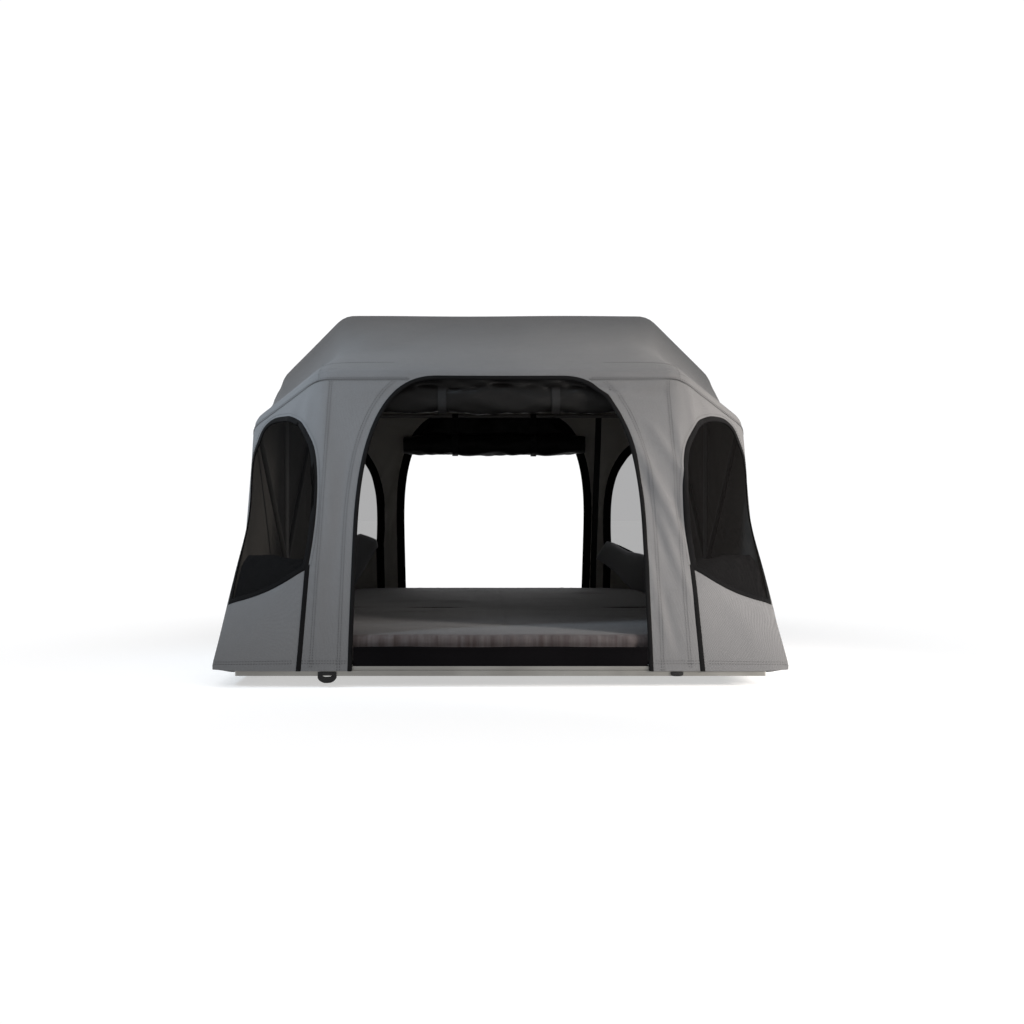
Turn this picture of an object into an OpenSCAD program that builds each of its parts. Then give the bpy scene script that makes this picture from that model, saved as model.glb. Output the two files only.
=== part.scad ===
// Fold-out roof top tent: two hinged base halves, three fanning bows and a fabric canopy.
// Millimetres. X is across, -Y is the front end, Z is up, and z = 0 is under the mounting rails.

/* [Base] */
// outside width of the base
base_w = 1400; // [1200:10:1600]
// length of each base half
half_l = 1200; // [1100:10:1300]
// height of the base rails
rail_h = 25; // [22:1:32]
// width of the hollow part of a base rail
rail_w = 28; // [24:1:40]
// height of the mounting rails
mount_h = 30; // [25:1:40]
// distance between the mounting rails
mount_pitch = 900; // [700:10:1000]

/* [Bows] */
// outside diameter of the bow tubes
bow_d = 16; // [14:0.5:16.5]
// wall of the bow tubes
bow_wall = 1.5; // [1.2:0.1:2]
// how far the front bow legs stand outside the base
bow_out = 28; // [27:1:32]
// sideways step from one bow to the next, so that they nest
bow_step = 17.5; // [17.5:0.5:20]
// how much shorter the front and rear bows are than a base half
bow_in = 100; // [80:5:200]
// how much shorter the middle bow is than the other two
mid_in = 138; // [100:2:200]
// how far the end bows stand up from level
end_bow_tilt = 38; // [32:1:44]
// size of the slanted shoulders
shoulder = 212; // [180:2:240]
// bend radius of the tubes
bend_r = 70; // [60:1:80]
// height of the pivot above the floor
pivot_h = 127; // [125:1:150]
// diameter of the pivot pins
pin_d = 12; // [10:0.5:12]

/* [Canopy] */
// thickness of the canopy sheets
fabric_t = 2.5; // [2:0.1:3]
// half width of the flat end walls at the hem
wall_hem_w = 536; // [500:2:580]
// how far the hem flares out past the bows at the corners
corner_flare = 37; // [22:1:52]
// how far the hem flares out past the bows over the hinge
hinge_flare = 37; // [35:1:60]
// half width of the door openings
door_w = 393; // [340:1:420]
// depth of the roof edge below the bows
eave_drop = 26; // [20:1:36]
// depth of the roof edge over the door arches
door_eave = 7; // [6:1:12]
// width of the black bindings
binding_w = 14; // [10:1:18]

/* [Bedding] */
// height of the mattress
mattress_h = 63; // [50:1:78]
// how far the mattress stays in from the sides of the base
mattress_in = 60; // [45:5:140]
// height of the door sill
sill_h = 38; // [25:1:45]

/* [Hidden] */
$fn = 48;
fit = 0.05;
gap = 0.3;
floor_z = mount_h + rail_h;
pivot_z = floor_z + pivot_h;
tube_r = bow_d / 2;
bore_r = tube_r - bow_wall;
pin_r = pin_d / 2;
base_x = base_w / 2;
skin = tube_r + 6.2;
hem_y = half_l + 5.5;
hem_z = floor_z - 10;
ledge = 14;
ledge_t = 3;
cap_t = 3;
plate_t = 5;
seam = 0.6;
roof_sag = 6;
shoulder_sag = 32;
leg_from = 30;
spigot = 50;
mid_bow_tilt = 90;
front_bow_w = base_x + bow_out;
mid_bow_w = front_bow_w + bow_step;
rear_bow_w = mid_bow_w + bow_step;
end_bow_l = half_l - bow_in;
mid_bow_l = end_bow_l - mid_in;
eye_t = bow_step - 2.5;
corner_hem_w = front_bow_w + corner_flare;
rear_hem_w = corner_hem_w + bow_step + 3;
hinge_hem_w = rear_bow_w + hinge_flare;
panel_w = corner_hem_w - wall_hem_w;
wall_l = 0.8 * end_bow_l;
plate_l = 165;
side_in = 330;
side_step = (half_l - side_in) / 4;

// A bow as [half width, length, angle up from the front, hem half width, hem y]
FRONT = [front_bow_w, end_bow_l, end_bow_tilt, corner_hem_w, -hem_y];
MID = [mid_bow_w, mid_bow_l, mid_bow_tilt, hinge_hem_w, 0];
REAR = [rear_bow_w, end_bow_l, 180 - end_bow_tilt, rear_hem_w, hem_y];

// Small helpers
function lerp(a, b, t) = a + (b - a) * t;
function unit(v) = v / norm(v);
function mean(list) = [for (i = list) 1] * list / len(list);
function flip_x(p) = [-p.x, p.y, p.z];
function flip_grid(g) = [for (row = g) [for (p = row) flip_x(p)]];

// Point at fraction u of a path's length
function lengths(path) = [for (i = [1:len(path) - 1]) norm(path[i] - path[i - 1])];
function walk(path, d, i, left) =
  i >= len(d) - 1 || left <= d[i] ? lerp(path[i], path[i + 1], left / d[i]) : walk(path, d, i + 1, left - d[i]);
function along(path, u) = let (d = lengths(path)) walk(path, d, 0, u * (d * [for (i = d) 1]));

// Cloth sheets: a grid of points and the same grid moved inwards, closed round the edge
function inward(p) = unit([0.25 * p.x, 0.25 * p.y, floor_z + 300] - p);
function thicken(g, t) = [for (row = g) [for (p = row) p + t * inward(p)]];
function sheet_faces(r, c, wrap) =
  let (n = r * c, last = wrap ? r - 1 : r - 2)
  concat(
    [for (i = [0:last], j = [0:c - 2]) let (a = i * c + j, b = (i + 1) % r * c + j)
      each [[a, a + 1, b], [b, a + 1, b + 1], [n + a, n + b, n + a + 1], [n + b, n + b + 1, n + a + 1]]],
    [for (i = [0:last]) let (a = i * c, b = (i + 1) % r * c, e = a + c - 1, f = b + c - 1)
      each [[a, b, n + a], [b, n + b, n + a], [e, n + e, f], [f, n + e, n + f]]],
    wrap ? [] : [for (j = [0:c - 2]) let (a = (r - 1) * c + j)
      each [[j, n + j, j + 1], [j + 1, n + j, n + j + 1], [a, a + 1, n + a], [a + 1, n + a + 1, n + a]]]
  );
module closed(points, faces) {
  volume = [for (f = faces) 1] * [for (f = faces) points[f[0]] * cross(points[f[1]], points[f[2]])];
  polyhedron(points, volume > 0 ? [for (f = faces) [f[0], f[2], f[1]]] : faces, convexity = 8);
}
module skin_between(outer, inner, wrap = false) {
  points = concat([for (row = outer) each row], [for (row = inner) each row]);
  closed(points, sheet_faces(len(outer), len(outer[0]), wrap));
}
module sheet(grid, t = fabric_t, wrap = false) skin_between(grid, thicken(grid, t), wrap);

// Padded and rolled solids: closed rings joined one after another
module loft(rings) {
  n = len(rings);
  m = len(rings[0]);
  points = concat([for (ring = rings) each ring], [mean(rings[0]), mean(rings[n - 1])]);
  closed(points, concat(
    [for (i = [0:n - 2], j = [0:m - 1]) let (p = i * m + j, q = i * m + (j + 1) % m)
      each [[p, q, p + m], [q, q + m, p + m]]],
    [for (j = [0:m - 1]) [n * m, (j + 1) % m, j]],
    [for (j = [0:m - 1]) [n * m + 1, (n - 1) * m + j, (n - 1) * m + (j + 1) % m]]
  ));
}

// Shape of the cloth over a bow, in the bow's own plane
function skin_w(b) = b[0] + skin;
function skin_l(b) = b[1] + skin;
function skin_r() = bend_r + skin;
function skin_c() = shoulder + 0.586 * skin;
function leg_end(b) = skin_l(b) - skin_c() - skin_r() * tan(22.5);
function bar_end(b) = skin_w(b) - skin_c() - skin_r() * tan(22.5);
function corner_x(b) = bar_end(b) + skin_r() * cos(67.5);
function stand(b, p) = [p.x, -p.y * cos(b[2]), pivot_z + p.y * sin(b[2])];
function top_turn(b, a) = [bar_end(b) + skin_r() * cos(a), skin_l(b) - skin_r() + skin_r() * sin(a)];
function side_turn(b, a) = [skin_w(b) - skin_r() + skin_r() * cos(a), leg_end(b) + skin_r() * sin(a)];
function shoulder_path(b) = concat(
  [for (k = [0:3]) stand(b, top_turn(b, 67.5 - 7.5 * k))],
  [for (k = [0:5]) stand(b, side_turn(b, 45 - 9 * k))]
);
function bar_point(b, x) =
  stand(b, x <= bar_end(b) ? [x, skin_l(b)] : top_turn(b, acos((x - bar_end(b)) / skin_r())));

// End walls: straight up from the hem to the bow. Corner panels: the twisted piece beside them
function wall_y(b, v) = lerp(b[4], bar_point(b, 0).y, v);
function wall_z(b, v) = lerp(hem_z, bar_point(b, 0).z, v);
function wall_half(b, v) = lerp(wall_hem_w, corner_x(b), v);
function wall_point(b, x, v) =
  let (a = min(1, abs(x) / wall_half(b, v)),
    p = lerp([a * wall_hem_w, b[4], hem_z], bar_point(b, a * corner_x(b)), v))
  [x < 0 ? -p.x : p.x, p.y, p.z];
function corner_hem(b, u) =
  [lerp(wall_hem_w, b[3], u), b[4] - sign(b[4]) * 10 * pow(u, 6), hem_z];
function corner_point(b, u, v) =
  let (p = lerp(corner_hem(b, u), along(shoulder_path(b), u), v), sag = 22 * 4 * v * (1 - v) * u * u)
  [p.x - sag, p.y, p.z];
eave_v = 1 - eave_drop / wall_l;
side_v = 2 * eave_v - 1;
function eave_at(b, x) =
  1 - lookup(abs(x), [[bar_end(b) / 3, door_eave], [bar_end(b) * 2 / 3, eave_drop]]) / wall_l;

// Roof: one row along each bow, one along each eave, and rows between
function half_row(b) = concat(
  [stand(b, [skin_w(b), leg_end(b) - eave_drop])],
  [for (k = [len(shoulder_path(b)) - 1:-1:0]) shoulder_path(b)[k]],
  [for (k = [3:-1:0]) bar_point(b, bar_end(b) * k / 3)]
);
function eave_row(b) =
  let (path = shoulder_path(b), d = lengths(path), all = d * [for (i = d) 1])
  concat(
    [corner_point(b, 1, side_v)],
    [for (k = [len(path) - 1:-1:0])
      corner_point(b, k == 0 ? 0 : [for (i = [0:k - 1]) d[i]] * [for (i = [0:k - 1]) 1] / all, eave_v)],
    [for (k = [3:-1:0]) wall_point(b, bar_end(b) * k / 3, eave_at(b, bar_end(b) * k / 3))]
  );
function full_row(half) = concat(half, [for (k = [len(half) - 2:-1:0]) flip_x(half[k])]);
// Stretched between two bows, the roof sags a little and its shoulders are drawn in
function drawn_in(i) = shoulder_sag * lookup(i, [[1, 0], [6, 0.75], [7, 1], [10, 0.7], [11, 0.4], [12, 0]]);
function rows_between(a, b, n) =
  [for (k = [1:n]) let (t = k / (n + 1), s = sin(180 * t)) [for (i = [0:len(a) - 1])
    lerp(a[i], b[i], t) - s * [s * drawn_in(i), 0, roof_sag + s * drawn_in(i)]]];
module roof() {
  front = half_row(FRONT);
  mid = half_row(MID);
  rear = half_row(REAR);
  halves = concat([eave_row(FRONT), front], rows_between(front, mid, 3), [mid],
    rows_between(mid, rear, 3), [rear, eave_row(REAR)]);
  color("#6b6b6d") sheet([for (half = halves) full_row(half)]);
}

// Side wall: columns from the front corner to the rear corner, with a return under the hem to the rail
function seat(b) = stand(b, [skin_w(b), leg_end(b) - eave_drop]);
function side_top(t) =
  (t <= 0 ? lerp(seat(FRONT), seat(MID), t + 1) : lerp(seat(MID), seat(REAR), t))
  - [0, 0, roof_sag * abs(sin(180 * t))];
function side_hem(t) =
  [lerp(hinge_hem_w, t < 0 ? corner_hem_w + 6 : rear_hem_w + 6, abs(t)), 4 * t * side_step, hem_z];
function side_column(t) = [for (v = [0, 0.12, 0.25, 0.4, 0.55, 0.7, 0.85, 1])
  lerp(side_hem(t), side_top(t) - [0, 0, seam], v) - [4 * sin(180 * v) * abs(t), 0, 0]];
function edge_column(b) = [for (v = [0, 0.12, 0.25, 0.4, 0.55, 0.7, 0.85, 1])
  corner_point(b, 1, v * (side_v - seam / end_bow_l)) - [0, sign(b[4]) * 2 * seam, 0]];
function return_x(y) = base_x + fabric_t + (abs(y) < plate_l + side_step ? 2 * plate_t + 1.5 : gap);
function with_return(column) = concat([[return_x(column[0].y), column[0].y, hem_z - 4]], column);
module side_wall(s) {
  columns = concat([edge_column(FRONT)], [for (t = [-1:0.25:1]) side_column(t)], [edge_column(REAR)]);
  grid = [for (column = columns) with_return(column)];
  color("#6f6e6f") sheet(s < 0 ? flip_grid(grid) : grid);
}
module side_wall_left() side_wall(-1);
module side_wall_right() side_wall(1);

// Door outline, from the hem on one side over the arch to the other, grown by a margin
arch_v = 1 - door_eave / wall_l - 0.005;
arch_flat = 172;
arch_v0 = 0.4;
function door_side(b, e, v) = [door_w + e, v];
function door_arch(b, e, a) =
  let (top = arch_v - (binding_w - e) / wall_l, c = cos(a), s = sin(a))
  [arch_flat + (door_w + e - arch_flat) * pow(c, 0.8), arch_v0 + (top - arch_v0) * pow(s, 0.8)];
function door_half(b, e) = concat(
  [for (v = [0, 0.1, 0.2, 0.3]) door_side(b, e, v)],
  [for (a = [0:11.25:90]) door_arch(b, e, a)],
  [[arch_flat / 2, door_arch(b, e, 90).y], [0, door_arch(b, e, 90).y]]
);
function frame_half(b) = concat(
  [for (v = [0, 0.1, 0.2, 0.3]) [wall_half(b, v) - gap, v]],
  [for (k = [0:4]) let (v = lerp(arch_v0, eave_v - 0.001, k / 4)) [wall_half(b, v) - gap, v]],
  [for (k = [5:-1:0]) let (x = bar_end(b) * k / 6) [x, eave_at(b, x) - 0.001]]
);
function mirrored(list) = concat(list, [for (k = [len(list) - 2:-1:0]) [-list[k].x, list[k].y]]);
module end_wall(b) {
  inner = mirrored(door_half(b, binding_w + gap));
  outer = mirrored(frame_half(b));
  grid = [for (k = [0:len(inner) - 1]) [for (t = [0, 0.5, 1])
    let (q = lerp(inner[k], outer[k], t)) wall_point(b, q.x, q.y)]];
  color("#6b6b6d") sheet(grid);
}
module front_wall() end_wall(FRONT);
module rear_wall() end_wall(REAR);
module door_binding(b) {
  grid = [for (q = [mirrored(door_half(b, 0)), mirrored(door_half(b, binding_w))])
    [for (p = q) wall_point(b, p.x, max(p.y, 0.03))]];
  color("#161617") sheet([for (k = [0:len(grid[0]) - 1]) [grid[0][k], grid[1][k]]]);
}
module front_door_binding() door_binding(FRONT);
module rear_door_binding() door_binding(REAR);

// Corner window outline in panel fractions, drawn in by a margin
window_in = 0.018;
window_peak = [0.62, 0.938];
out_v = 0.78;
in_v = 0.66;
function window_out(v) = lookup(v, [[0.25, 0.97], [0.6, 0.965], [0.7, 0.955], [0.78, 0.93]]);
function window_low(u) = lerp(0.32, 0.247, u) - 0.02 * sin(180 * u);
function window_arch(e, a) =
  let (mid = window_peak.x, top = window_peak.y - e / wall_l, c = abs(cos(a)), s = sin(a), du = e / panel_w)
  a < 90 ? [lerp(mid, window_out(out_v) - du, c), lerp(out_v, top, s)]
  : [lerp(mid, window_in + du, c), lerp(in_v, top, pow(s, 1.1))];
function window_line(e) =
  let (du = e / panel_w, dv = e / wall_l, u0 = window_in + du, u1 = window_out(0.25) - du)
  concat(
    [for (k = [0:6]) let (u = lerp(u0, u1, k / 6)) [u, window_low(u) + dv]],
    [for (k = [0.2, 0.6, 1, 2, 3]) let (v = lerp(window_low(u1) + dv, out_v, k / 4)) [window_out(v) - du, v]],
    [for (a = [0:15:180]) window_arch(e, a)],
    [for (k = [1:3]) [u0, lerp(in_v, window_low(u0) + dv, k / 4)]]
  );
function panel_line() =
  let (u0 = 0.0012, u1 = 0.9988, v1 = eave_v - 0.001)
  concat(
    [for (k = [0:6]) [lerp(u0, u1, k / 6), 0]],
    [for (v = [0.11, 0.23, 0.35, 0.5, 0.65]) [u1, v]],
    [for (a = [0:15:180])
      a <= 45 ? [u1, lerp(out_v, v1, a / 45)] : a < 135 ? [lerp(u1, u0, (a - 45) / 90), v1]
      : [u0, lerp(v1, in_v, (a - 135) / 45)]],
    [for (k = [1:3]) [u0, in_v * (4 - k) / 4]]
  );
module handed(s) if (s < 0) mirror([1, 0, 0]) children(); else children();
module corner(b, s) {
  hole = window_line(0);
  edge = panel_line();
  grid = [for (k = [0:len(hole) - 1]) [for (t = [0, 0.5, 1])
    let (q = lerp(hole[k], edge[k], t), p = corner_point(b, q.x, q.y)) s < 0 ? flip_x(p) : p]];
  color("#747375") sheet(grid, fabric_t, true);
}
module front_left_corner() corner(FRONT, -1);
module front_right_corner() corner(FRONT, 1);
module rear_left_corner() corner(REAR, -1);
module rear_right_corner() corner(REAR, 1);
module binding(b, s) {
  lines = [window_line(0.8), window_line(binding_w / 2), window_line(binding_w)];
  grid = [for (k = [0:len(lines[0]) - 1]) [for (line = lines)
    let (p = corner_point(b, line[k].x, line[k].y)) s < 0 ? flip_x(p) : p]];
  color("#161617") sheet(grid, fabric_t + 1, true);
}
module front_window_bindings() {
  for (s = [-1, 1])
    binding(FRONT, s);
}
module rear_window_bindings() {
  for (s = [-1, 1])
    binding(REAR, s);
}
module window(b, s) {
  line = window_line(binding_w + 0.4);
  hub = [0.5, 0.58];
  rings = [for (t = [0.3, 0.65, 1]) [for (q = line)
    let (w = lerp(hub, q, t), p = corner_point(b, w.x, w.y)) s < 0 ? flip_x(p) : p]];
  back = thicken(rings, 1.5);
  color("#1c1c1e") loft(concat(rings, [for (k = [2:-1:0]) back[k]]));
}
module front_left_window() window(FRONT, -1);
module front_right_window() window(FRONT, 1);
module rear_left_window() window(REAR, -1);
module rear_right_window() window(REAR, 1);

// Window flap: let down inside, standing up from the foot of the window, folding over and hanging
function flap_fold(h) = [
  [2.6, 4], [8, 4 + 85 * h], [20, 8 + 140 * h], [40, 8 + 150 * h], [58, 4 + 100 * h], [66, -16], [62, -56], [68, -92]
];
function flap_point(b, u, p, k) =
  let (foot = corner_point(b, u, window_low(u) + 0.014 + max(p.y, 0) / wall_l), d = inward(foot),
    n = unit([d.x, d.y, 0]),
    fold = 5 * sin(600 * u + 40 * k) * min(1, k / 3))
  foot + n * (p.x + fold) + [0, 0, min(p.y, 0) + 0.6 * fold];
module flap(b, s) {
  grid = [for (i = [0:8]) let (u = 0.1 + 0.1 * i, f = flap_fold(pow(u, 0.6)))
    [for (k = [0:7]) let (p = flap_point(b, u, f[k], k)) s < 0 ? flip_x(p) : p]];
  back = [for (i = [0:8]) [for (k = [0:7])
    let (du = grid[min(8, i + 1)][k] - grid[max(0, i - 1)][k], dk = grid[i][min(7, k + 1)] - grid[i][max(0, k - 1)])
    grid[i][k] + 2.5 * s * sign(b[4]) * unit(cross(du, dk))]];
  color("#3a3836") skin_between(grid, back);
}
module front_window_flaps() {
  for (s = [-1, 1])
    flap(FRONT, s);
}
module rear_window_flaps() {
  for (s = [-1, 1])
    flap(REAR, s);
}

// Rolled door: a folded bundle hung inside the arch, drawn in under its two straps
strap_x = 165;
roll_hang = 8.5;
front_roll = [30, 48, 66];
rear_roll = [34, 50, 120];
function pinch(x) = 1 - 0.105 * exp(-pow((abs(x) - strap_x) / 40, 2));
function roll_size(b) = b[4] < 0 ? front_roll : rear_roll;
function roll_centre(b) =
  let (rise = bar_point(b, 0).z - hem_z, v = (rise - roll_hang - roll_size(b)[2]) / rise)
  [0, wall_y(b, v) - sign(b[4]) * 66, wall_z(b, v)];
function roll_ring(b, x) =
  let (c = roll_centre(b), q = roll_size(b), e = abs(x) / (door_w - 6), k = pinch(x) * (1 - 0.35 * pow(e, 6)))
  [for (a = [0:20:340]) let (f = k * (1 + 0.05 * sin(3 * a + x * 1.1) + 0.035 * sin(5 * a - x * 1.9)))
    c + [x, f * q[0] * cos(a), f * q[1] * sin(a)]];
module door_roll(b) color("#1d1c1c") loft([for (k = [-11:11]) roll_ring(b, (door_w - 6) * k / 11)]);
module front_door_roll() door_roll(FRONT);
module rear_door_roll() door_roll(REAR);
module roll_strap(b, x) {
  c = roll_centre(b);
  q = roll_size(b);
  d = sign(b[4]);
  rise = stand(b, [0, b[1] - tube_r - 0.5]);
  reach = [rise.y - c.y, rise.z - c.z];
  band = [for (a = [0:15:345]) [q[0] * cos(a), q[1] * sin(a)] * 1.0];
  translate([x - 12, c.y, c.z]) rotate([90, 0, 90]) linear_extrude(24) {
    difference() {
      polygon(band * 1.06);
      polygon(band * 1.01);
    }
    polygon([[0, q[1] * 1.02], [0, q[1] * 1.06 + 1], reach, reach + [0, -3 * 1]]);
  }
}
module straps(b) {
  color("#111112") for (x = [-strap_x, strap_x])
    roll_strap(b, x);
}
module front_roll_straps() straps(FRONT);
module rear_roll_straps() straps(REAR);

// Bow tubes
module bow_frame(b) translate([0, 0, pivot_z]) rotate([90 - b[2], 0, 0]) children();
module tube(r, l) {
  difference() {
    cylinder(r = r, h = l);
    translate([0, 0, -1]) cylinder(r = bore_r, h = l + 2);
  }
}
// A bend stops just short of the straight tubes, and an inner sleeve joins them end to end
module bend() {
  rotate([90, 0, 0]) rotate([0, 0, 0.2]) rotate_extrude(angle = 44.6) translate([bend_r, 0]) difference() {
    circle(tube_r);
    circle(bore_r);
  }
}
module sleeve() {
  translate([0, 0, -4]) difference() {
    cylinder(r = bore_r + 0.7, h = 8);
    translate([0, 0, -1]) cylinder(r = bore_r - 1, h = 10);
  }
}
function leg_top(b) = b[1] - shoulder - bend_r - 40;
module bow_legs(b) {
  color("#b9bbbd") bow_frame(b) for (s = [-1, 1])
    translate([s * b[0], 0, leg_from + gap]) tube(tube_r, leg_top(b) - leg_from - 2 * gap);
}
module hoop_side(b) {
  t = bend_r * tan(22.5);
  s1 = b[1] - shoulder - t;
  slant = shoulder * sqrt(2) - 2 * t;
  translate([b[0], 0, leg_top(b)]) tube(tube_r, s1 - leg_top(b));
  translate([b[0], 0, s1]) sleeve();
  translate([b[0], 0, leg_top(b) + 4]) sleeve();
  translate([b[0], 0, leg_top(b) - spigot]) difference() {
    cylinder(r = bore_r - fit, h = spigot);
    translate([0, 0, -1]) cylinder(r = bore_r - 1.3, h = spigot + 6);
  }
  translate([b[0] - bend_r, 0, s1]) bend();
  translate([b[0] - bend_r * (1 - cos(45)), 0, s1 + bend_r * sin(45)]) rotate([0, -45, 0]) {
    tube(tube_r, slant);
    sleeve();
    translate([0, 0, slant]) sleeve();
  }
  translate([b[0] - shoulder - t, 0, b[1] - bend_r]) rotate([0, -45, 0]) bend();
  translate([b[0] - shoulder - t, 0, b[1]]) rotate([0, 90, 0]) sleeve();
}
module bow_hoop(b) {
  l = b[0] - shoulder - bend_r * tan(22.5);
  color("#b9bbbd") bow_frame(b) {
    hoop_side(b);
    mirror([1, 0, 0]) hoop_side(b);
    translate([-l, 0, b[1]]) rotate([0, 90, 0]) tube(tube_r, 2 * l);
  }
}
module bow_ends(b) {
  color("#2b2b2d") bow_frame(b) for (s = [-1, 1])
    translate([s * b[0], 0, 0]) difference() {
      union() {
        rotate([0, 90, 0]) cylinder(r = 13, h = eye_t, center = true);
        cylinder(r = tube_r - 0.6, h = leg_from);
        translate([0, 0, leg_from - 5]) cylinder(r = bore_r - fit, h = spigot);
      }
      rotate([0, 90, 0]) cylinder(r = pin_r + fit, h = 60, center = true);
    }
}
module front_bow_legs() bow_legs(FRONT);
module front_bow_hoop() bow_hoop(FRONT);
module front_bow_ends() bow_ends(FRONT);
module mid_bow_legs() bow_legs(MID);
module mid_bow_hoop() bow_hoop(MID);
module mid_bow_ends() bow_ends(MID);
module rear_bow_legs() bow_legs(REAR);
module rear_bow_hoop() bow_hoop(REAR);
module rear_bow_ends() bow_ends(REAR);

// Base rails: a stepped hollow section with a ledge that carries the floor panel
step_z = 14;
step_in = 5;
module rail_section() {
  difference() {
    polygon([[0, 0], [rail_w, 0], [rail_w, rail_h], [step_in, rail_h], [step_in, step_z], [0, step_z]]);
    polygon([[3, 3], [rail_w - 2.5, 3], [rail_w - 2.5, rail_h - 2.5], [step_in + 3, rail_h - 2.5],
      [step_in + 3, step_z - 3], [3, step_z - 3]]);
  }
}
module along_x(l) rotate([90, 0, 90]) linear_extrude(l, center = true) children();
module along_y(l) rotate([90, 0, 0]) linear_extrude(l, center = true) children();
module end_rail() {
  color("#a5a39c") translate([0, -half_l, mount_h]) {
    along_x(base_w - 2 * cap_t - 2 * gap) rail_section();
    translate([0, rail_w + ledge / 2 - 1, ledge_t / 2])
      cube([base_w - 2 * rail_w - 1, ledge + 2, ledge_t], center = true);
  }
}
module side_rail(s) {
  from = -half_l + rail_w + gap;
  to = -1;
  l = to - from;
  color("#a5a39c") handed(s) translate([base_x, (from + to) / 2, mount_h]) {
    mirror([1, 0, 0]) along_y(l) rail_section();
    translate([-rail_w - ledge / 2 + 1, 0, ledge_t / 2])
      cube([ledge + 2, l - 2 * rail_w - 2 * ledge, ledge_t], center = true);
  }
}
module hinge_rail() {
  color("#a5a39c") translate([0, -1, mount_h]) {
    mirror([0, 1, 0]) along_x(base_w - 2 * rail_w - 2 * gap) rail_section();
    translate([0, -rail_w - ledge / 2 + 1, ledge_t / 2])
      cube([base_w - 2 * rail_w - 1, ledge + 2, ledge_t], center = true);
  }
}
module end_caps() {
  color("#8f8e88") for (s = [-1, 1])
    handed(s) translate([base_x - cap_t / 2, -half_l, mount_h]) along_x(cap_t)
      polygon([[0, 0], [rail_w, 0], [rail_w, rail_h], [step_in, rail_h], [step_in, step_z], [0, step_z]]);
}
module floor_panel() {
  l = half_l - 2 * rail_w - 1 - 2 * gap;
  color("#8d8b84") translate([0, -half_l / 2 - 0.5, mount_h + ledge_t + gap + (rail_h - ledge_t - gap) / 2])
    cube([base_w - 2 * rail_w - 2 * gap, l, rail_h - ledge_t - gap], center = true);
}
module rear() mirror([0, 1, 0]) children();
module front_floor_panel() floor_panel();
module front_side_rail_left() side_rail(-1);
module front_side_rail_right() side_rail(1);
module front_end_rail() end_rail();
module front_hinge_rail() hinge_rail();
module front_end_caps() end_caps();
module rear_side_rail_left() rear() side_rail(-1);
module rear_side_rail_right() rear() side_rail(1);
module rear_end_rail() rear() end_rail();
module rear_hinge_rail() rear() hinge_rail();
module rear_end_caps() rear() end_caps();

// Mounting rails: C channels that slide on to M8 bolt heads, held by bolts from inside the channel
bolt_y = [for (k = [0:2]) half_l * (0.12 + 0.38 * k)];
module rear_floor_panel() {
  difference() {
    rear() floor_panel();
    for (s = [-1, 1], y = bolt_y)
      translate([s * mount_pitch / 2, y, mount_h]) cylinder(r = 4 + fit, h = 18);
  }
}
module mounting_rail(s) {
  color("#b3b3b0") difference() {
    translate([s * mount_pitch / 2, half_l / 2, 0]) along_y(half_l - 10) polygon([
      [-20, 0], [-5, 0], [-5, 4], [-17, 4], [-17, mount_h - 4], [17, mount_h - 4], [17, 4], [5, 4], [5, 0], [20, 0],
      [20, mount_h - gap], [-20, mount_h - gap]]);
    for (y = bolt_y)
      translate([s * mount_pitch / 2, y, mount_h - 10]) cylinder(r = 4.3, h = 20);
  }
}
module mounting_rail_left() mounting_rail(-1);
module mounting_rail_right() mounting_rail(1);
module mounting_rail_bolts() {
  color("#c9c9c9") for (s = [-1, 1], y = bolt_y)
    translate([s * mount_pitch / 2, y, 0]) {
      translate([0, 0, mount_h - 9.5]) cylinder(r = 6.5, h = 5.3);
      translate([0, 0, mount_h - 5]) cylinder(r = 4, h = 20);
    }
}

// Hinge plates, pins, washers and nuts
module plate_shape() {
  polygon([
    [10, mount_h + 2], [plate_l, mount_h + 2], [plate_l, floor_z - 3], [plate_l - 45, floor_z + 8], [16, pivot_z - 8],
    [13, pivot_z], [-12, pivot_z], [-14, pivot_z - 14], [6, floor_z + 10], [10, floor_z]
  ]);
}
module plate_at(x, t) translate([x + t / 2, 0, 0]) along_x(t) children();
module rear_hinge_plate(s) {
  color("#9b9a96") handed(s) difference() {
    union() {
      plate_at(base_x + gap, plate_t) plate_shape();
      translate([base_x + gap, 0, pivot_z]) rotate([0, 90, 0]) cylinder(r = 18, h = plate_t);
    }
    translate([base_x - 5, 0, pivot_z]) rotate([0, 90, 0]) cylinder(r = pin_r + fit, h = 20);
  }
}
module front_hinge_plate(s) {
  x = base_x + plate_t + 2 * gap + 0.4;
  color("#9b9a96") handed(s) mirror([0, 1, 0]) difference() {
    union() {
      plate_at(x, plate_t) plate_shape();
      plate_at(base_x + gap, plate_t + 1)
        polygon([[30, mount_h + 2], [plate_l, mount_h + 2], [plate_l, floor_z - 3], [30, floor_z - 3]]);
      translate([x, 0, pivot_z]) rotate([0, 90, 0]) cylinder(r = 18, h = plate_t);
    }
    translate([base_x - 5, 0, pivot_z]) rotate([0, 90, 0]) cylinder(r = pin_r + fit, h = 30);
  }
}
module rear_hinge_plate_left() rear_hinge_plate(-1);
module rear_hinge_plate_right() rear_hinge_plate(1);
module front_hinge_plate_left() front_hinge_plate(-1);
module front_hinge_plate_right() front_hinge_plate(1);
pin_end = rear_bow_w + eye_t / 2 + 14;
module hinge_pins() {
  color("#c4c5c6") for (s = [-1, 1])
    handed(s) translate([0, 0, pivot_z]) rotate([0, 90, 0]) {
      translate([0, 0, base_x - 8]) cylinder(r = 10, h = 8);
      translate([0, 0, base_x - 1]) cylinder(r = pin_r, h = pin_end - base_x + 1);
    }
}
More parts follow.
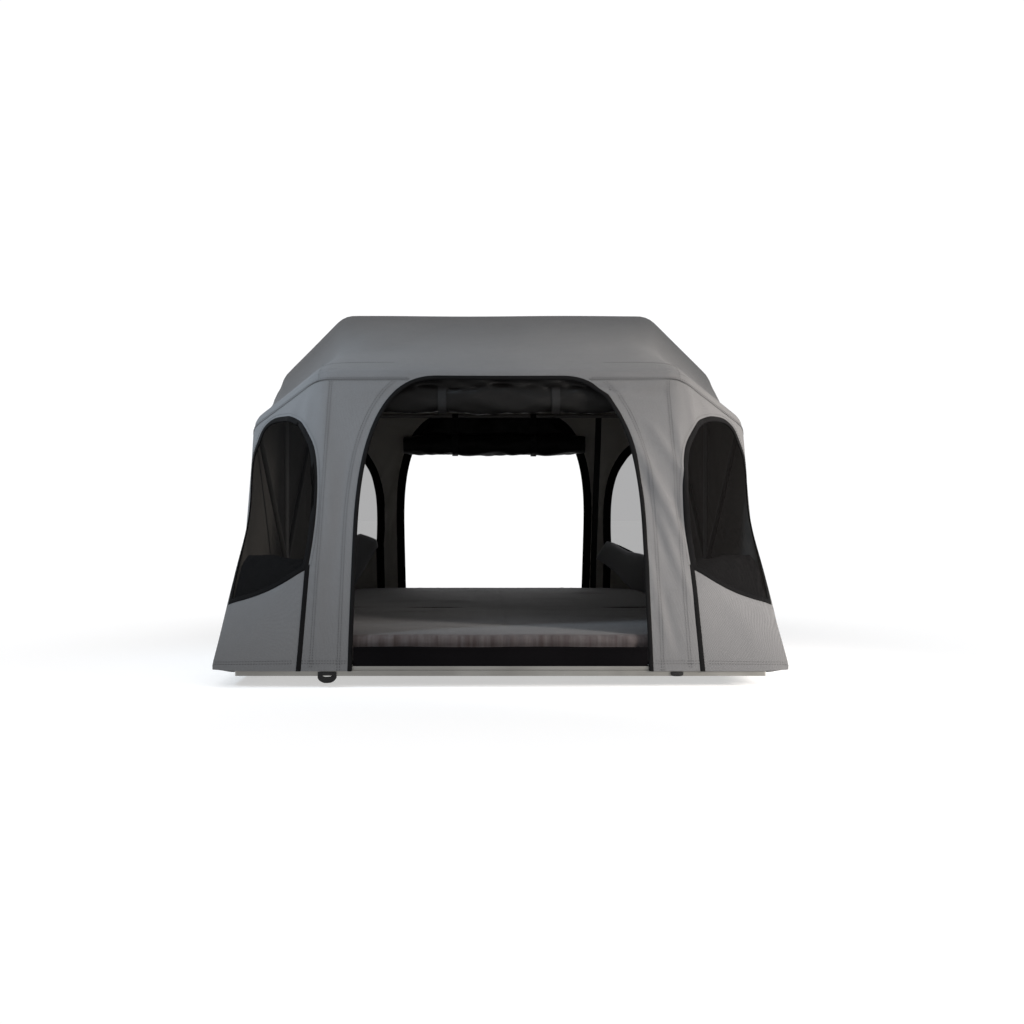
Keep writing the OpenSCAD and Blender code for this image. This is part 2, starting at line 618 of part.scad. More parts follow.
module ring_at(from, to, r) {
  translate([from, 0, pivot_z]) rotate([0, 90, 0]) difference() {
    cylinder(r = r, h = to - from);
    translate([0, 0, -1]) cylinder(r = pin_r + fit, h = to - from + 2);
  }
}
module hinge_washers() {
  plate_out = base_x + 2 * plate_t + 2 * gap + 0.4;
  color("#c4c5c6") for (s = [-1, 1])
    handed(s) {
      ring_at(plate_out + gap, front_bow_w - eye_t / 2 - gap, 11);
      for (w = [front_bow_w, mid_bow_w, rear_bow_w])
        ring_at(w + eye_t / 2 + gap, w + eye_t / 2 + 2.2, 11);
    }
}
module hinge_nuts() {
  color("#b7b8b9") for (s = [-1, 1])
    handed(s) difference() {
      translate([rear_bow_w + eye_t / 2 + 2.5, 0, pivot_z]) rotate([0, 90, 0]) cylinder(r = 11, h = 10, $fn = 6);
      translate([rear_bow_w, 0, pivot_z]) rotate([0, 90, 0]) cylinder(r = pin_r + fit, h = 60);
    }
}

// Mattress half: drawn-in sides, rounded edges and a crowned top
function pad_ring(w, l, mid, r, pull, z) =
  [for (k = [0:47]) let (a = k * 7.5, c = cos(a), s = sin(a), m = pow(pow(abs(c), 7) + pow(abs(s), 7), -1 / 7),
    x = m * c, y = m * s, px = (1 - pow(y, 2)) * pull, py = (1 - pow(x, 2)) * pull)
    [x * (w - r) - sign(x) * px * pow(abs(x), 6), mid + y * (l - r) - sign(y) * py * pow(abs(y), 6), z]];
pad_in = 36;
pad_meet = 4;
module mattress() {
  w = base_x - mattress_in;
  l = (half_l - pad_in - pad_meet) / 2;
  h = mattress_h;
  z = floor_z + gap;
  profile = [[14, 0, 0], [3, 8, 3], [0, 20, 8], [0, h - 26, 8], [5, h - 11, 5], [16, h - 4, 2], [40, h - 1, 0],
    [130, h + 2, 0], [300, h + 4, 0]];
  color("#77706a") loft([for (p = profile) pad_ring(w, l, -l - pad_meet, p[0], p[2], z + p[1])]);
}
module front_mattress() mattress();
module rear_mattress() rear() mattress();

// Door sills stand on the end rails
module sill() {
  color("#141415") translate([0, -half_l + step_in + 3, floor_z + 0.2]) along_x(2 * door_w - 8)
    union() {
      translate([-1.5, 0]) square([3, sill_h - 3]);
      translate([0, sill_h - 3]) circle(3);
    }
}
module front_door_sill() sill();
module rear_door_sill() rear() sill();

// Webbing anchor loops under the front rail
left_loop_x = 455;
right_loop_x = 465;
module anchor_plate(w, h) {
  translate([-w / 2, -half_l - 4 - gap, mount_h + 2]) cube([w, 4, h]);
}
module anchor_loop_left() {
  r = 31.6;
  color("#131314") translate([-left_loop_x, 0, 0]) {
    anchor_plate(56, 10);
    translate([0, -half_l - 4 - gap, mount_h + 2.5 + r - 17]) rotate([-90, 0, 0]) intersection() {
      difference() {
        cylinder(r = r, h = 4);
        translate([0, 0, -1]) cylinder(r = r - 3.5, h = 6);
      }
      translate([-30, r - 17 - 0.6, -1]) cube([60, 30, 6]);
    }
  }
}
module anchor_loop_right() {
  r = 60;
  color("#131314") translate([right_loop_x, 0, 0]) {
    anchor_plate(38, 7);
    translate([0, -half_l - 4 - gap, mount_h + 2.5 + r - 3]) rotate([-90, 0, 0]) intersection() {
      cylinder(r = r, h = 4);
      translate([-30, r - 3.6, -1]) cube([60, 30, 6]);
    }
  }
}

rear_floor_panel();
rear_side_rail_left();
rear_side_rail_right();
rear_end_rail();
rear_hinge_rail();
rear_end_caps();
mounting_rail_left();
mounting_rail_right();
mounting_rail_bolts();
rear_hinge_plate_left();
rear_hinge_plate_right();
hinge_pins();
hinge_washers();
hinge_nuts();
rear_mattress();
front_floor_panel();
front_side_rail_left();
front_side_rail_right();
front_end_rail();
front_hinge_rail();
front_end_caps();
front_hinge_plate_left();
front_hinge_plate_right();
front_mattress();
front_door_sill();
rear_door_sill();
anchor_loop_left();
anchor_loop_right();
front_bow_legs();
front_bow_hoop();
front_bow_ends();
mid_bow_legs();
mid_bow_hoop();
mid_bow_ends();
rear_bow_legs();
rear_bow_hoop();
rear_bow_ends();
roof();
side_wall_left();
side_wall_right();
front_wall();
rear_wall();
front_left_corner();
front_right_corner();
rear_left_corner();
rear_right_corner();
front_left_window();
front_right_window();
rear_left_window();
rear_right_window();
front_window_bindings();
rear_window_bindings();
front_window_flaps();
rear_window_flaps();
front_door_binding();
rear_door_binding();
front_door_roll();
rear_door_roll();
front_roll_straps();
rear_roll_straps();
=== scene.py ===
import math

import bpy
import numpy as np
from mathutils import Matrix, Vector


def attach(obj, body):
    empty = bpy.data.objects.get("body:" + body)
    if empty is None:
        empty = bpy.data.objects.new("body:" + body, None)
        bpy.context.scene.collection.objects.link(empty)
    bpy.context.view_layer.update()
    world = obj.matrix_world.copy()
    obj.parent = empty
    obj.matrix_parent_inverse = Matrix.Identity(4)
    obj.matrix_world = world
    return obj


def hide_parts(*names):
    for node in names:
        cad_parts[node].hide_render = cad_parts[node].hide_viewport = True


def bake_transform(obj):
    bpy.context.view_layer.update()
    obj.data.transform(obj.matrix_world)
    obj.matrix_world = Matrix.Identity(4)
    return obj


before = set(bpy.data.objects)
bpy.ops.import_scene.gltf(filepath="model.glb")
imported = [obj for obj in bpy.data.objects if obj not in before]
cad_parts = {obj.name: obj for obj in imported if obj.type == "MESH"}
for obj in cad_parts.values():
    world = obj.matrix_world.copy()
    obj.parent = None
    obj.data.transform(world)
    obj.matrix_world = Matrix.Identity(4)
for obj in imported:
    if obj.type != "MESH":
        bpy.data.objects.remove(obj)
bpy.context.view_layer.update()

# Sizes of the part, in metres: the base and the pivot, the bow tubes, and the cloth's skin over a tube
BASE_X, HALF_L, FLOOR_Z, PIVOT_Z = 0.700, 1.200, 0.055, 0.182
TUBE_R, BEND_R, SHOULDER = 0.008, 0.070, 0.212
SKIN, MITRE = TUBE_R + 0.0062, 0.586
SKIN_R, SKIN_C = BEND_R + SKIN, SHOULDER + MITRE * SKIN

# Canopy: hem, corner panels, eave, door, slack; a height on a wall is a fraction v of the wall's length
HEM_Y, HEM_Z, WALL_HEM_W = 1.2055, 0.0435, 0.536
PANEL_W, PANEL_TOP_W, WALL_L = 0.229, 0.341, 0.880
EAVE_V = 1 - 0.026 / WALL_L
DOOR_W, ARCH_FLAT, ARCH_V0, BINDING = 0.393, 0.172, 0.4, 0.014
ARCH_V = 1 - 0.007 / WALL_L - 0.005
EDGE_IN, WAIST_IN, WAIST_V, WAIST_SPAN, TUCK = 0.015, 0.016, 0.60, 0.2, 0.010
ROOF_SAG, SHOULDER_SAG, SIDE_END, SIDE_FLARE, SIDE_IN = 0.006, 0.032, 0.870, 0.006, 0.004
CLOTH_T, EASE_MAX = 0.0016, 0.0036

# Return under the hem: gap to the base, more beside the hinge plates; drop; opening at the hinge
FLANGE_GAP, PLATE_GAP, PLATE_END, FLANGE_DROP, HINGE_GAP = 0.0028, 0.0112, 0.43, 0.004, 0.045

# How many samples the canopy has along its edges
NV, NA, NU, NR, NT, NK, N_FLANGE = 55, 30, 22, 44, 12, 16, 4
V = np.linspace(0, 1, NV + 1)
U = np.linspace(0, 1, NU + 1)


# Small helpers
def lerp(a, b, t):
    return a + (b - a) * t


def smooth(t):
    t = np.clip(t, 0, 1)
    return t * t * (3 - 2 * t)


def bell(t):
    return np.exp(-t ** 2)


def flip(p, side=-1):
    """The points mirrored to the left-hand side, or as they are where side is 1."""
    return p * [side, 1, 1]


def unit(v):
    return v / np.maximum(np.linalg.norm(v, axis=-1, keepdims=True), 1e-12)


def coords(*parts):
    """Points from their coordinates, any of which may be a single number."""
    return np.stack(np.broadcast_arrays(*(np.asarray(c, float) for c in parts)), -1)


def inward(p):
    return unit(coords(-0.75 * p[..., 0], -0.75 * p[..., 1], FLOOR_Z + 0.3 - p[..., 2]))


def level_inward(p):
    return unit(inward(p) * [1, 1, 0])


def spline(points, per):
    """A smooth line through the points, along the first axis."""
    points = np.asarray(points, float)
    p = np.concatenate([points[:1] * 2 - points[1:2], points, points[-1:] * 2 - points[-2:-1]])
    out = []
    for a, b, c, d in zip(p, p[1:], p[2:], p[3:]):
        for t in np.arange(per) / per:
            out.append(0.5 * (2 * b + (c - a) * t + (2 * a - 5 * b + 4 * c - d) * t * t
                              + (3 * b - a - 3 * c + d) * t ** 3))
    return np.array(out + [points[-1]])


def panel_width(v):
    return lerp(PANEL_W, PANEL_TOP_W, v)


class Bow:
    """A bow and the cloth over it: half width, length, angle up from the front, hem half width, hem y.

    As fractions of a corner panel, reach is how far its patch goes on to the wall, and zip_u is where the
    black strip below the window runs.
    """

    def __init__(self, half_w, length, tilt, hem_w, hem_y, reach, zip_u=0.0):
        self.cos, self.sin = math.cos(math.radians(tilt)), math.sin(math.radians(tilt))
        self.length, self.tilt, self.hem_w, self.hem_y = length, tilt, hem_w, hem_y
        self.end, self.reach, self.zip_u = np.sign(hem_y), reach, zip_u
        skin_w, self.skin_l = half_w + SKIN, length + SKIN
        turn = SKIN_R * math.tan(math.pi / 8)
        leg_end, self.bar_end = self.skin_l - SKIN_C - turn, skin_w - SKIN_C - turn
        self.corner_x = self.bar_end + SKIN_R * math.cos(math.radians(67.5))
        top, side = np.radians(np.linspace(67.5, 45, 10)), np.radians(np.linspace(45, 0, 18))
        self.path = self.stand(
            np.append(self.bar_end + SKIN_R * np.cos(top), skin_w - SKIN_R + SKIN_R * np.cos(side)),
            np.append(self.skin_l - SKIN_R + SKIN_R * np.sin(top), leg_end + SKIN_R * np.sin(side)))
        steps = np.linalg.norm(np.diff(self.path, axis=0), axis=1)
        self.walk = np.append(0, np.cumsum(steps)) / steps.sum()

    def stand(self, x, r):
        return coords(x, -r * self.cos, PIVOT_Z + r * self.sin)

    def shoulder(self, u):
        return coords(*(np.interp(u, self.walk, c) for c in self.path.T))

    def bar(self, x):
        over = np.clip((x - self.bar_end) / SKIN_R, 0, 1)
        return self.stand(x, self.skin_l - SKIN_R * (1 - np.sqrt(1 - over ** 2)))

    def wall_half(self, v):
        return lerp(WALL_HEM_W, self.corner_x, v)

    def wall(self, x, v):
        """Point of the end wall at x and height fraction v."""
        a = np.clip(np.abs(x) / self.wall_half(v), 0, 1)
        hem = coords(a * WALL_HEM_W, self.hem_y, HEM_Z)
        p = lerp(hem, self.bar(a * self.corner_x), np.asarray(v)[..., None])
        p[..., 0] *= np.sign(x)
        return p

    def corner(self, u, v):
        """Point of the right-hand corner panel, or of the wall beside it where u is below 0."""
        u, v = np.broadcast_arrays(np.asarray(u, float), np.asarray(v, float))
        beside = self.wall(self.wall_half(v) + np.minimum(u, 0) * panel_width(v), v)
        on_wall = (u < 0)[..., None]
        u = np.maximum(u, 0)
        hem = coords(lerp(WALL_HEM_W, self.hem_w, u), self.hem_y - self.end * TUCK * u ** 6, HEM_Z)
        p = lerp(hem, self.shoulder(u), v[..., None])
        p[..., 0] -= (EDGE_IN * 4 * v * (1 - v) + WAIST_IN * bell((v - WAIST_V) / WAIST_SPAN)) * u * u
        return np.where(on_wall, beside, p)

    def at_height(self, z):
        """Height fraction and y of the end wall at height z."""
        top = self.bar(0.0)
        v = (z - HEM_Z) / (top[2] - HEM_Z)
        return v, lerp(self.hem_y, top[1], v)


FRONT = Bow(0.728, 1.100, 38, 0.765, -HEM_Y, -0.12, -0.015)
MID = Bow(0.7455, 0.962, 90, 0.800, 0.0, -0.18)
REAR = Bow(0.763, 1.100, 142, 0.7855, HEM_Y, -0.24, -0.14)
ENDS = {"front": FRONT, "rear": REAR}
SIDES = {"left": -1, "right": 1}

# Creases in the cloth of the ends, in millimetres: x and z of both ends, height, half width
FOLDS = 0.001 * np.array([
    (385, 655, 500, 385, 5, 15), (402, 570, 452, 350, -3.4, 12), (425, 480, 505, 255, 3.4, 13),
    (440, 240, 475, 75, -2.6, 11), (430, 700, 515, 560, 3.4, 14), (405, 330, 440, 130, 2.6, 11),
    (480, 520, 530, 300, -2.8, 12), (300, 790, 500, 838, 3.2, 12), (250, 822, 460, 800, -2.2, 10),
    (505, 690, 520, 450, 2.4, 11), (-500, 780, -470, 420, 3, 20), (-430, 620, -455, 250, -2.6, 18),
    (-495, 350, -480, 80, 2.4, 16), (-320, 815, -480, 790, 2.2, 12), (-548, 790, -556, 690, 5, 11),
    (-575, 780, -590, 690, -3.4, 10), (-600, 765, -620, 690, 3.4, 10), (548, 800, 556, 690, 4.6, 12),
    (580, 780, 604, 700, -3.4, 12), (560, 330, 700, 90, 2.8, 30), (-570, 300, -690, 80, 2.2, 30),
    (600, 250, 740, 160, -2.4, 22)])
DEEPER_RIGHT, DEEPER_LEFT, DEEPER_REAR = 1.6, 1.1, 0.8


def fold_height(p, fold):
    a, b = fold[:2], fold[2:4]
    q, ab = p[..., [0, 2]] - a, b - a
    t = np.clip(q @ ab / (ab @ ab), -0.3, 1.3)
    d = np.linalg.norm(q - t[..., None] * ab, axis=-1)
    return fold[4] * bell(d / fold[5]) * smooth((t + 0.3) / 0.5) * smooth((1.3 - t) / 0.5)


def drape(p):
    """How far the cloth stands out from its drawn surface: slack, ripples and creases, none at the hem."""
    x, y, z = p[..., 0], p[..., 1], p[..., 2]
    front, rear = smooth((-0.74 - y) / 0.1), smooth((y - 0.74) / 0.1)
    between = (1 - front) * (1 - rear)
    side = smooth((np.abs(x) - 0.68) / 0.06) * between
    top = smooth((z - 0.78) / 0.12) * between
    h = 0.0012 * np.sin(9 * x + 4 * z + 1) * np.sin(7 * z - 3 * y)
    for fold in FOLDS:
        h = h + front * fold_height(p, fold) * (DEEPER_RIGHT if fold[0] > 0 else DEEPER_LEFT)
        h = h + DEEPER_REAR * rear * fold_height(flip(p), fold)
    from_mid = np.abs(np.degrees(np.arctan2(z - PIVOT_Z, -y)) - MID.tilt)
    slack = smooth((from_mid - 3) / 14) * smooth((48 - from_mid) / 14)
    h = h + side * slack * (0.0045 * np.sin(15 * y + 3.5 * z) * np.sin(3.3 * z + 0.6)
                            + 0.0024 * np.sin(31 * y - 9 * z + 2) * smooth((z - 0.2) / 0.3))
    h = h + top * slack * (0.0030 * np.sin(11 * x + 2.2 * np.sin(5 * y)) * np.sin(6 * y + 1.3)
                           + 0.0014 * np.sin(27 * x - 14 * y))
    curl = 0.007 * smooth((np.abs(x) - 0.71) / 0.04) * np.clip(1 - (z - HEM_Z) / 0.020, 0, 1) ** 2
    return h * smooth((z - HEM_Z) / 0.09) - curl


def on_cloth(p, lift=0.0):
    """Moves points of the drawn surface on to the creased cloth, lifted outwards."""
    return p - inward(p) * (drape(p) + lift)[..., None]


# Folding: how far each point of the cloth would turn about the pivot with the bows it hangs between, as a
# share of the fold, which fold_with_bows works out and leaves unused. Angles about the pivot, pitched and
# shut: close to a bow the cloth goes round its tube, and the rest lies between the tubes
FOLD = 179.5
PITCHED = [-6.5, 37, 38, 39.1, 88.6, 90, 91.4, 140.9, 142, 143, 186.5]
SHUT = [173.0, 176.89, 177.61, 178.33, 179.05, 179.75, 180.45, 181.17, 181.89, 182.61, 186.5]
TURNED = {FRONT: 7 / 9, MID: 1 / 2, REAR: 2 / 9}
ON_TUBE = 0.0115


def polar(p):
    """Angle up from the front, in degrees, and distance, about the pivot."""
    return np.degrees(np.arctan2(p[:, 2] - PIVOT_Z, -p[:, 1])), np.hypot(p[:, 1], p[:, 2] - PIVOT_Z)


def fan(p):
    phi, r = polar(p)
    phi = np.where(phi < -90, phi + 360, phi)
    share = np.clip((np.interp(phi, PITCHED, SHUT) - phi) / FOLD, 0, 1)
    for b, turned in TURNED.items():
        on_bar = (np.abs(r - b.length) < ON_TUBE) & (np.abs(np.radians(phi - b.tilt)) * r < ON_TUBE)
        share[on_bar] = turned
    return share


def fold_with_bows(obj):
    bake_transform(obj)
    p = np.array([v.co for v in obj.data.vertices], float).reshape(-1, 3)
    fan(p).astype(np.float32)


def settle(piece, slot, *nodes, body=None):
    """Bakes a piece's place into its mesh where it has no body, or lets it ride on a body, in the place of
    the CAD nodes named.
    """
    if body is None:
        fold_with_bows(piece)
    else:
        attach(piece, body)
    if nodes:
        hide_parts(*nodes)
    return piece


# Meshes
def grid_faces(rows, cols, wrap_rows=False, wrap_cols=False):
    i, j = np.meshgrid(np.arange(rows if wrap_rows else rows - 1), np.arange(cols if wrap_cols else cols - 1),
                       indexing="ij")
    i2, j2 = (i + 1) % rows, (j + 1) % cols
    return np.stack([i * cols + j, i2 * cols + j, i2 * cols + j2, i * cols + j2], -1).reshape(-1, 4)


def outward_quads(points, quads):
    """The quads turned so that most face away from the inside of the tent."""
    a, b, c = points[quads[:, 0]], points[quads[:, 1]], points[quads[:, 2]]
    facing = (np.cross(b - a, c - a) * inward(a)).sum()
    return quads[:, ::-1] if facing > 0 else quads


def make(name, points, faces, materials, ids=None, angle=40):
    mesh = bpy.data.meshes.new(name)
    mesh.from_pydata(np.asarray(points).reshape(-1, 3).tolist(), [], [list(f) for f in faces])
    mesh.validate()
    mesh.polygons.foreach_set("use_smooth", [True] * len(mesh.polygons))
    mesh.set_sharp_from_angle(angle=math.radians(angle))
    for m in materials if isinstance(materials, list) else [materials]:
        mesh.materials.append(m)
    if ids is not None:
        mesh.polygons.foreach_set("material_index", ids)
    obj = bpy.data.objects.new(name, mesh)
    bpy.context.scene.collection.objects.link(obj)
    return obj


def weld(patches):
    """Joins point grids into one mesh: points and faces, with the shared edges merged."""
    points, quads, start = [], [], 0
    for grid in patches:
        p = grid.reshape(-1, 3)
        points.append(p)
        quads.append(outward_quads(p, grid_faces(*grid.shape[:2])) + start)
        start += len(p)
    points, quads = np.concatenate(points), np.concatenate(quads)
    _, first, index = np.unique(np.round(points / 1e-5 + 0.137).astype(np.int64), axis=0,
                                return_index=True, return_inverse=True)
    faces = [list(dict.fromkeys(q)) for q in index.reshape(-1)[quads].tolist()]
    return points[first], [f for f in faces if len(f) > 2]


def with_thickness(points, faces, inner):
    """Closes a sheet with an inner side and a rim along its open edges, in triangles, with material ids."""
    n, seen = len(points), {}
    faces = [t for f in faces for t in ([f[:3], [f[0], *f[2:]]] if len(f) == 4 else [f])]
    for f in faces:
        for a, b in zip(f, f[1:] + f[:1]):
            seen[(a, b)] = True
    rim = [[b, a, a + n, b + n] for a, b in seen if (b, a) not in seen]
    back = [[i + n for i in reversed(f)] for f in faces]
    ids = [0] * len(faces) + [1] * len(back) + [0] * len(rim)
    return np.concatenate([points, inner]), faces + back + rim, ids


def sheet_of(grid, thick):
    """Both sides and the rim of a point grid: points and faces."""
    normal = unit(np.cross(np.gradient(grid, axis=0), np.gradient(grid, axis=1)))
    top, low = grid + normal * thick / 2, grid - normal * thick / 2
    faces = grid_faces(*grid.shape[:2]).tolist()
    return with_thickness(top.reshape(-1, 3), faces, low.reshape(-1, 3))[:2]


def tube_part(rings, closed=False):
    """A tube through cross-section rings of shape (n, m, 3), with flat ends unless it is closed."""
    n, m = rings.shape[:2]
    faces = grid_faces(n, m, closed, True).tolist()
    if not closed:
        faces += [list(range(m)), [(n - 1) * m + i for i in reversed(range(m))]]
    return rings, faces


def joined(name, parts, material, angle=40):
    """One mesh out of several pairs of points and faces."""
    points, faces, start = [], [], 0
    for p, f in parts:
        points.append(np.asarray(p).reshape(-1, 3))
        faces += [[i + start for i in q] for q in f]
        start += len(points[-1])
    return make(name, np.concatenate(points), faces, material, angle=angle)


# Materials
def put(node, inputs):
    for name, value in inputs.items():
        node.inputs[name].default_value = value


def material(name, rough, metal=0.0, sheen=0.0, specular=0.5):
    m = bpy.data.materials.new(name)
    m.use_nodes = True
    bsdf = m.node_tree.nodes["Principled BSDF"]
    put(bsdf, {"Roughness": rough, "Metallic": metal, "Sheen Weight": sheen, "Specular IOR Level": specular})
    return m, m.node_tree, bsdf


def add(tree, kind, **values):
    node = tree.nodes.new(kind)
    for key, value in values.items():
        if hasattr(node, key):
            setattr(node, key, value)
        else:
            node.inputs[key.replace("_", " ").title()].default_value = value
    return node


def scaled(tree, scale, turn=(0, 0, 0)):
    at = add(tree, "ShaderNodeTexCoord")
    mapping = add(tree, "ShaderNodeMapping", scale=scale, rotation=turn)
    tree.links.new(at.outputs["Object"], mapping.inputs["Vector"])
    return mapping.outputs["Vector"]


def ramp(tree, factor, stops):
    node = add(tree, "ShaderNodeValToRGB")
    for e, (at, colour) in zip(node.color_ramp.elements, stops):
        e.position, e.color = at, (*colour, 1)
    tree.links.new(factor, node.inputs["Fac"])
    return node.outputs["Color"]


def noise(tree, scale, detail=4.0, stretch=(1, 1, 1)):
    node = add(tree, "ShaderNodeTexNoise", scale=scale, detail=detail)
    tree.links.new(scaled(tree, stretch), node.inputs["Vector"])
    return node.outputs["Fac"]


def multiplied(tree, a, b, factor):
    node = add(tree, "ShaderNodeMix", data_type="RGBA", blend_type="MULTIPLY")
    node.inputs[0].default_value = factor
    tree.links.new(a, node.inputs[6])
    tree.links.new(b, node.inputs[7])
    return node.outputs[2]


def calc(tree, kind, a, b):
    node = add(tree, "ShaderNodeMath", operation=kind)
    for k, value in enumerate((a, b)):
        if isinstance(value, (int, float)):
            node.inputs[k].default_value = value
        else:
            tree.links.new(value, node.inputs[k])
    return node.outputs[0]


# Two thread directions, slanted so that no side of the tent lies across one of them
THREADS = ((0, 0, -math.pi / 4), (0, math.pi / 4, math.pi / 4))


def weave(tree, pitch):
    """Threads crossing at the given pitch, as a height."""
    heights = []
    for turn in THREADS:
        node = add(tree, "ShaderNodeTexWave", wave_type="BANDS", bands_direction="X", distortion=1.2,
                   scale=0.31 / pitch, detail_scale=40)
        tree.links.new(scaled(tree, (1, 1, 1), turn), node.inputs["Vector"])
        heights.append(node.outputs["Fac"])
    return calc(tree, "MAXIMUM", *heights)


def finish_surface(tree, bsdf, colour, height, depth, rough=None):
    tree.links.new(colour, bsdf.inputs["Base Color"])
    bump = add(tree, "ShaderNodeBump", strength=1.0, distance=depth)
    tree.links.new(height, bump.inputs["Height"])
    tree.links.new(bump.outputs["Normal"], bsdf.inputs["Normal"])
    if rough is not None:
        tree.links.new(rough, bsdf.inputs["Roughness"])


def rough_range(tree, factor, low, high):
    node = add(tree, "ShaderNodeMapRange", to_min=low, to_max=high)
    tree.links.new(factor, node.inputs["Value"])
    return node.outputs["Result"]


def fabric(name, dark, light, pitch, rough, sheen, specular, depth=0.0005, tone_and_shade_scale=2.6, stretch=(1, 1, 1)):
    """Woven cloth: slow colour changes, or fine streaks as painted pucker shade and highlight on the mattress
    border; thread-scale flecks; a weave to the touch.
    """
    m, tree, bsdf = material(name, rough[0], sheen=sheen, specular=specular)
    threads = weave(tree, pitch)
    wide = ramp(tree, noise(tree, tone_and_shade_scale, 5, stretch), [(0.3, dark), (0.7, light)])
    fleck = ramp(tree, noise(tree, 420, 2), [(0.25, (0.72,) * 3), (0.75, (1.0,) * 3)])
    lines = ramp(tree, threads, [(0.0, (0.80,) * 3), (0.6, (1.0,) * 3)])
    colour = multiplied(tree, multiplied(tree, wide, fleck, 0.6), lines, 0.55)
    height = calc(tree, "ADD", threads, calc(tree, "MULTIPLY", noise(tree, 60, 3), 0.6))
    finish_surface(tree, bsdf, colour, height, depth, rough_range(tree, noise(tree, 35, 3), *rough))
    return m


def metal(name, dark, light, rough, along=(1, 60, 60), depth=0.00012, metallic=0.9):
    """Drawn or extruded metal: fine lines along its length, worn patches."""
    m, tree, bsdf = material(name, rough[0], metal=metallic)
    lines = noise(tree, 9, 4, along)
    wide = ramp(tree, noise(tree, 6, 5), [(0.3, dark), (0.72, light)])
    streak = ramp(tree, lines, [(0.3, (0.82,) * 3), (0.7, (1.0,) * 3)])
    colour = multiplied(tree, wide, streak, 0.8)
    finish_surface(tree, bsdf, colour, lines, depth, rough_range(tree, noise(tree, 24, 4), *rough))
    return m


def plastic(name, dark, light, rough, scale=260, depth=0.00015):
    """Moulded or painted surface with a fine grain."""
    m, tree, bsdf = material(name, rough[0])
    colour = ramp(tree, noise(tree, 7, 5), [(0.3, dark), (0.7, light)])
    grain, worn = noise(tree, scale, 3), noise(tree, 40, 3)
    finish_surface(tree, bsdf, colour, grain, depth, rough_range(tree, worn, *rough))
    return m


def net_material(name, share):
    """Insect mesh: a black grid of threads, seen through between them."""
    m, tree, bsdf = material(name, 0.8, specular=0.0)
    threads = weave(tree, 0.0016)
    colour = ramp(tree, threads, [(0.2, (0.0008, 0.0008, 0.0008)), (0.9, (0.0032, 0.0030, 0.0030))])
    finish_surface(tree, bsdf, colour, threads, 0.0003)
    put(bsdf, {"Alpha": share})
    return m


CANOPY = fabric("canopy_canvas", (0.096, 0.096, 0.098), (0.110, 0.109, 0.110), 0.0018, (0.7, 0.85), 0.0, 0.08)
LINING = fabric("canopy_lining", (0.230, 0.220, 0.202), (0.285, 0.270, 0.250), 0.0016, (0.7, 0.85), 0.0, 0.1)
# The seam band is the canopy's own canvas, painted darker as the painted shadow along the lapped seam's edge
SEAM_SHADOW = fabric("seam_canvas_painted_shadow", (0.060, 0.060, 0.062), (0.078, 0.077, 0.078), 0.0014, (0.65, 0.8), 0.05, 0.15)
THREAD = fabric("stitch_thread", (0.020, 0.020, 0.021), (0.034, 0.033, 0.033), 0.0008, (0.5, 0.65), 0.05,
                0.15, 0.0002)
TRIM = fabric("black_binding", (0.0030, 0.0030, 0.0032), (0.0058, 0.0056, 0.0058), 0.0016, (0.55, 0.72), 0.0,
              0.03)
SILL = fabric("black_sill", (0.0022, 0.0020, 0.0023), (0.0040, 0.0036, 0.0040), 0.0020, (0.6, 0.75), 0.0,
              0.01)
WEBBING = fabric("black_webbing", (0.0050, 0.0050, 0.0055), (0.0110, 0.0105, 0.0105), 0.0030, (0.5, 0.68),
                 0.0, 0.14, 0.0009)
DOOR = fabric("door_cloth", (0.0030, 0.0029, 0.0029), (0.0060, 0.0057, 0.0055), 0.0015, (0.26, 0.38), 0.0,
              0.09, 0.0003)
FLAP = fabric("flap_cloth", (0.105, 0.106, 0.112), (0.138, 0.139, 0.145), 0.0016, (0.55, 0.7), 0.05, 0.2)
PIPING = fabric("flap_piping", (0.13, 0.13, 0.132), (0.18, 0.18, 0.18), 0.0012, (0.5, 0.7), 0.05, 0.2)
BED = fabric("mattress_cover", (0.034, 0.032, 0.033), (0.044, 0.0415, 0.0425), 0.0022, (0.72, 0.88), 0.08,
             0.15)
# The border's own reddish cloth, with fine streaks along it that are painted shade and highlight of its
# puckers
BORDER_PAINTED_PUCKERS = fabric("mattress_border_painted_pucker_shade", (0.031, 0.023, 0.022), (0.064, 0.056, 0.056), 0.0022, (0.72, 0.88), 0.05,
                0.12, tone_and_shade_scale=75, stretch=(1, 0.25, 0.05))
RAIL = metal("rail_anodised", (0.17, 0.165, 0.152), (0.23, 0.225, 0.21), (0.36, 0.54))
MOUNT = metal("mount_rail_aluminium", (0.46, 0.46, 0.45), (0.60, 0.60, 0.585), (0.28, 0.46), (60, 1, 60))
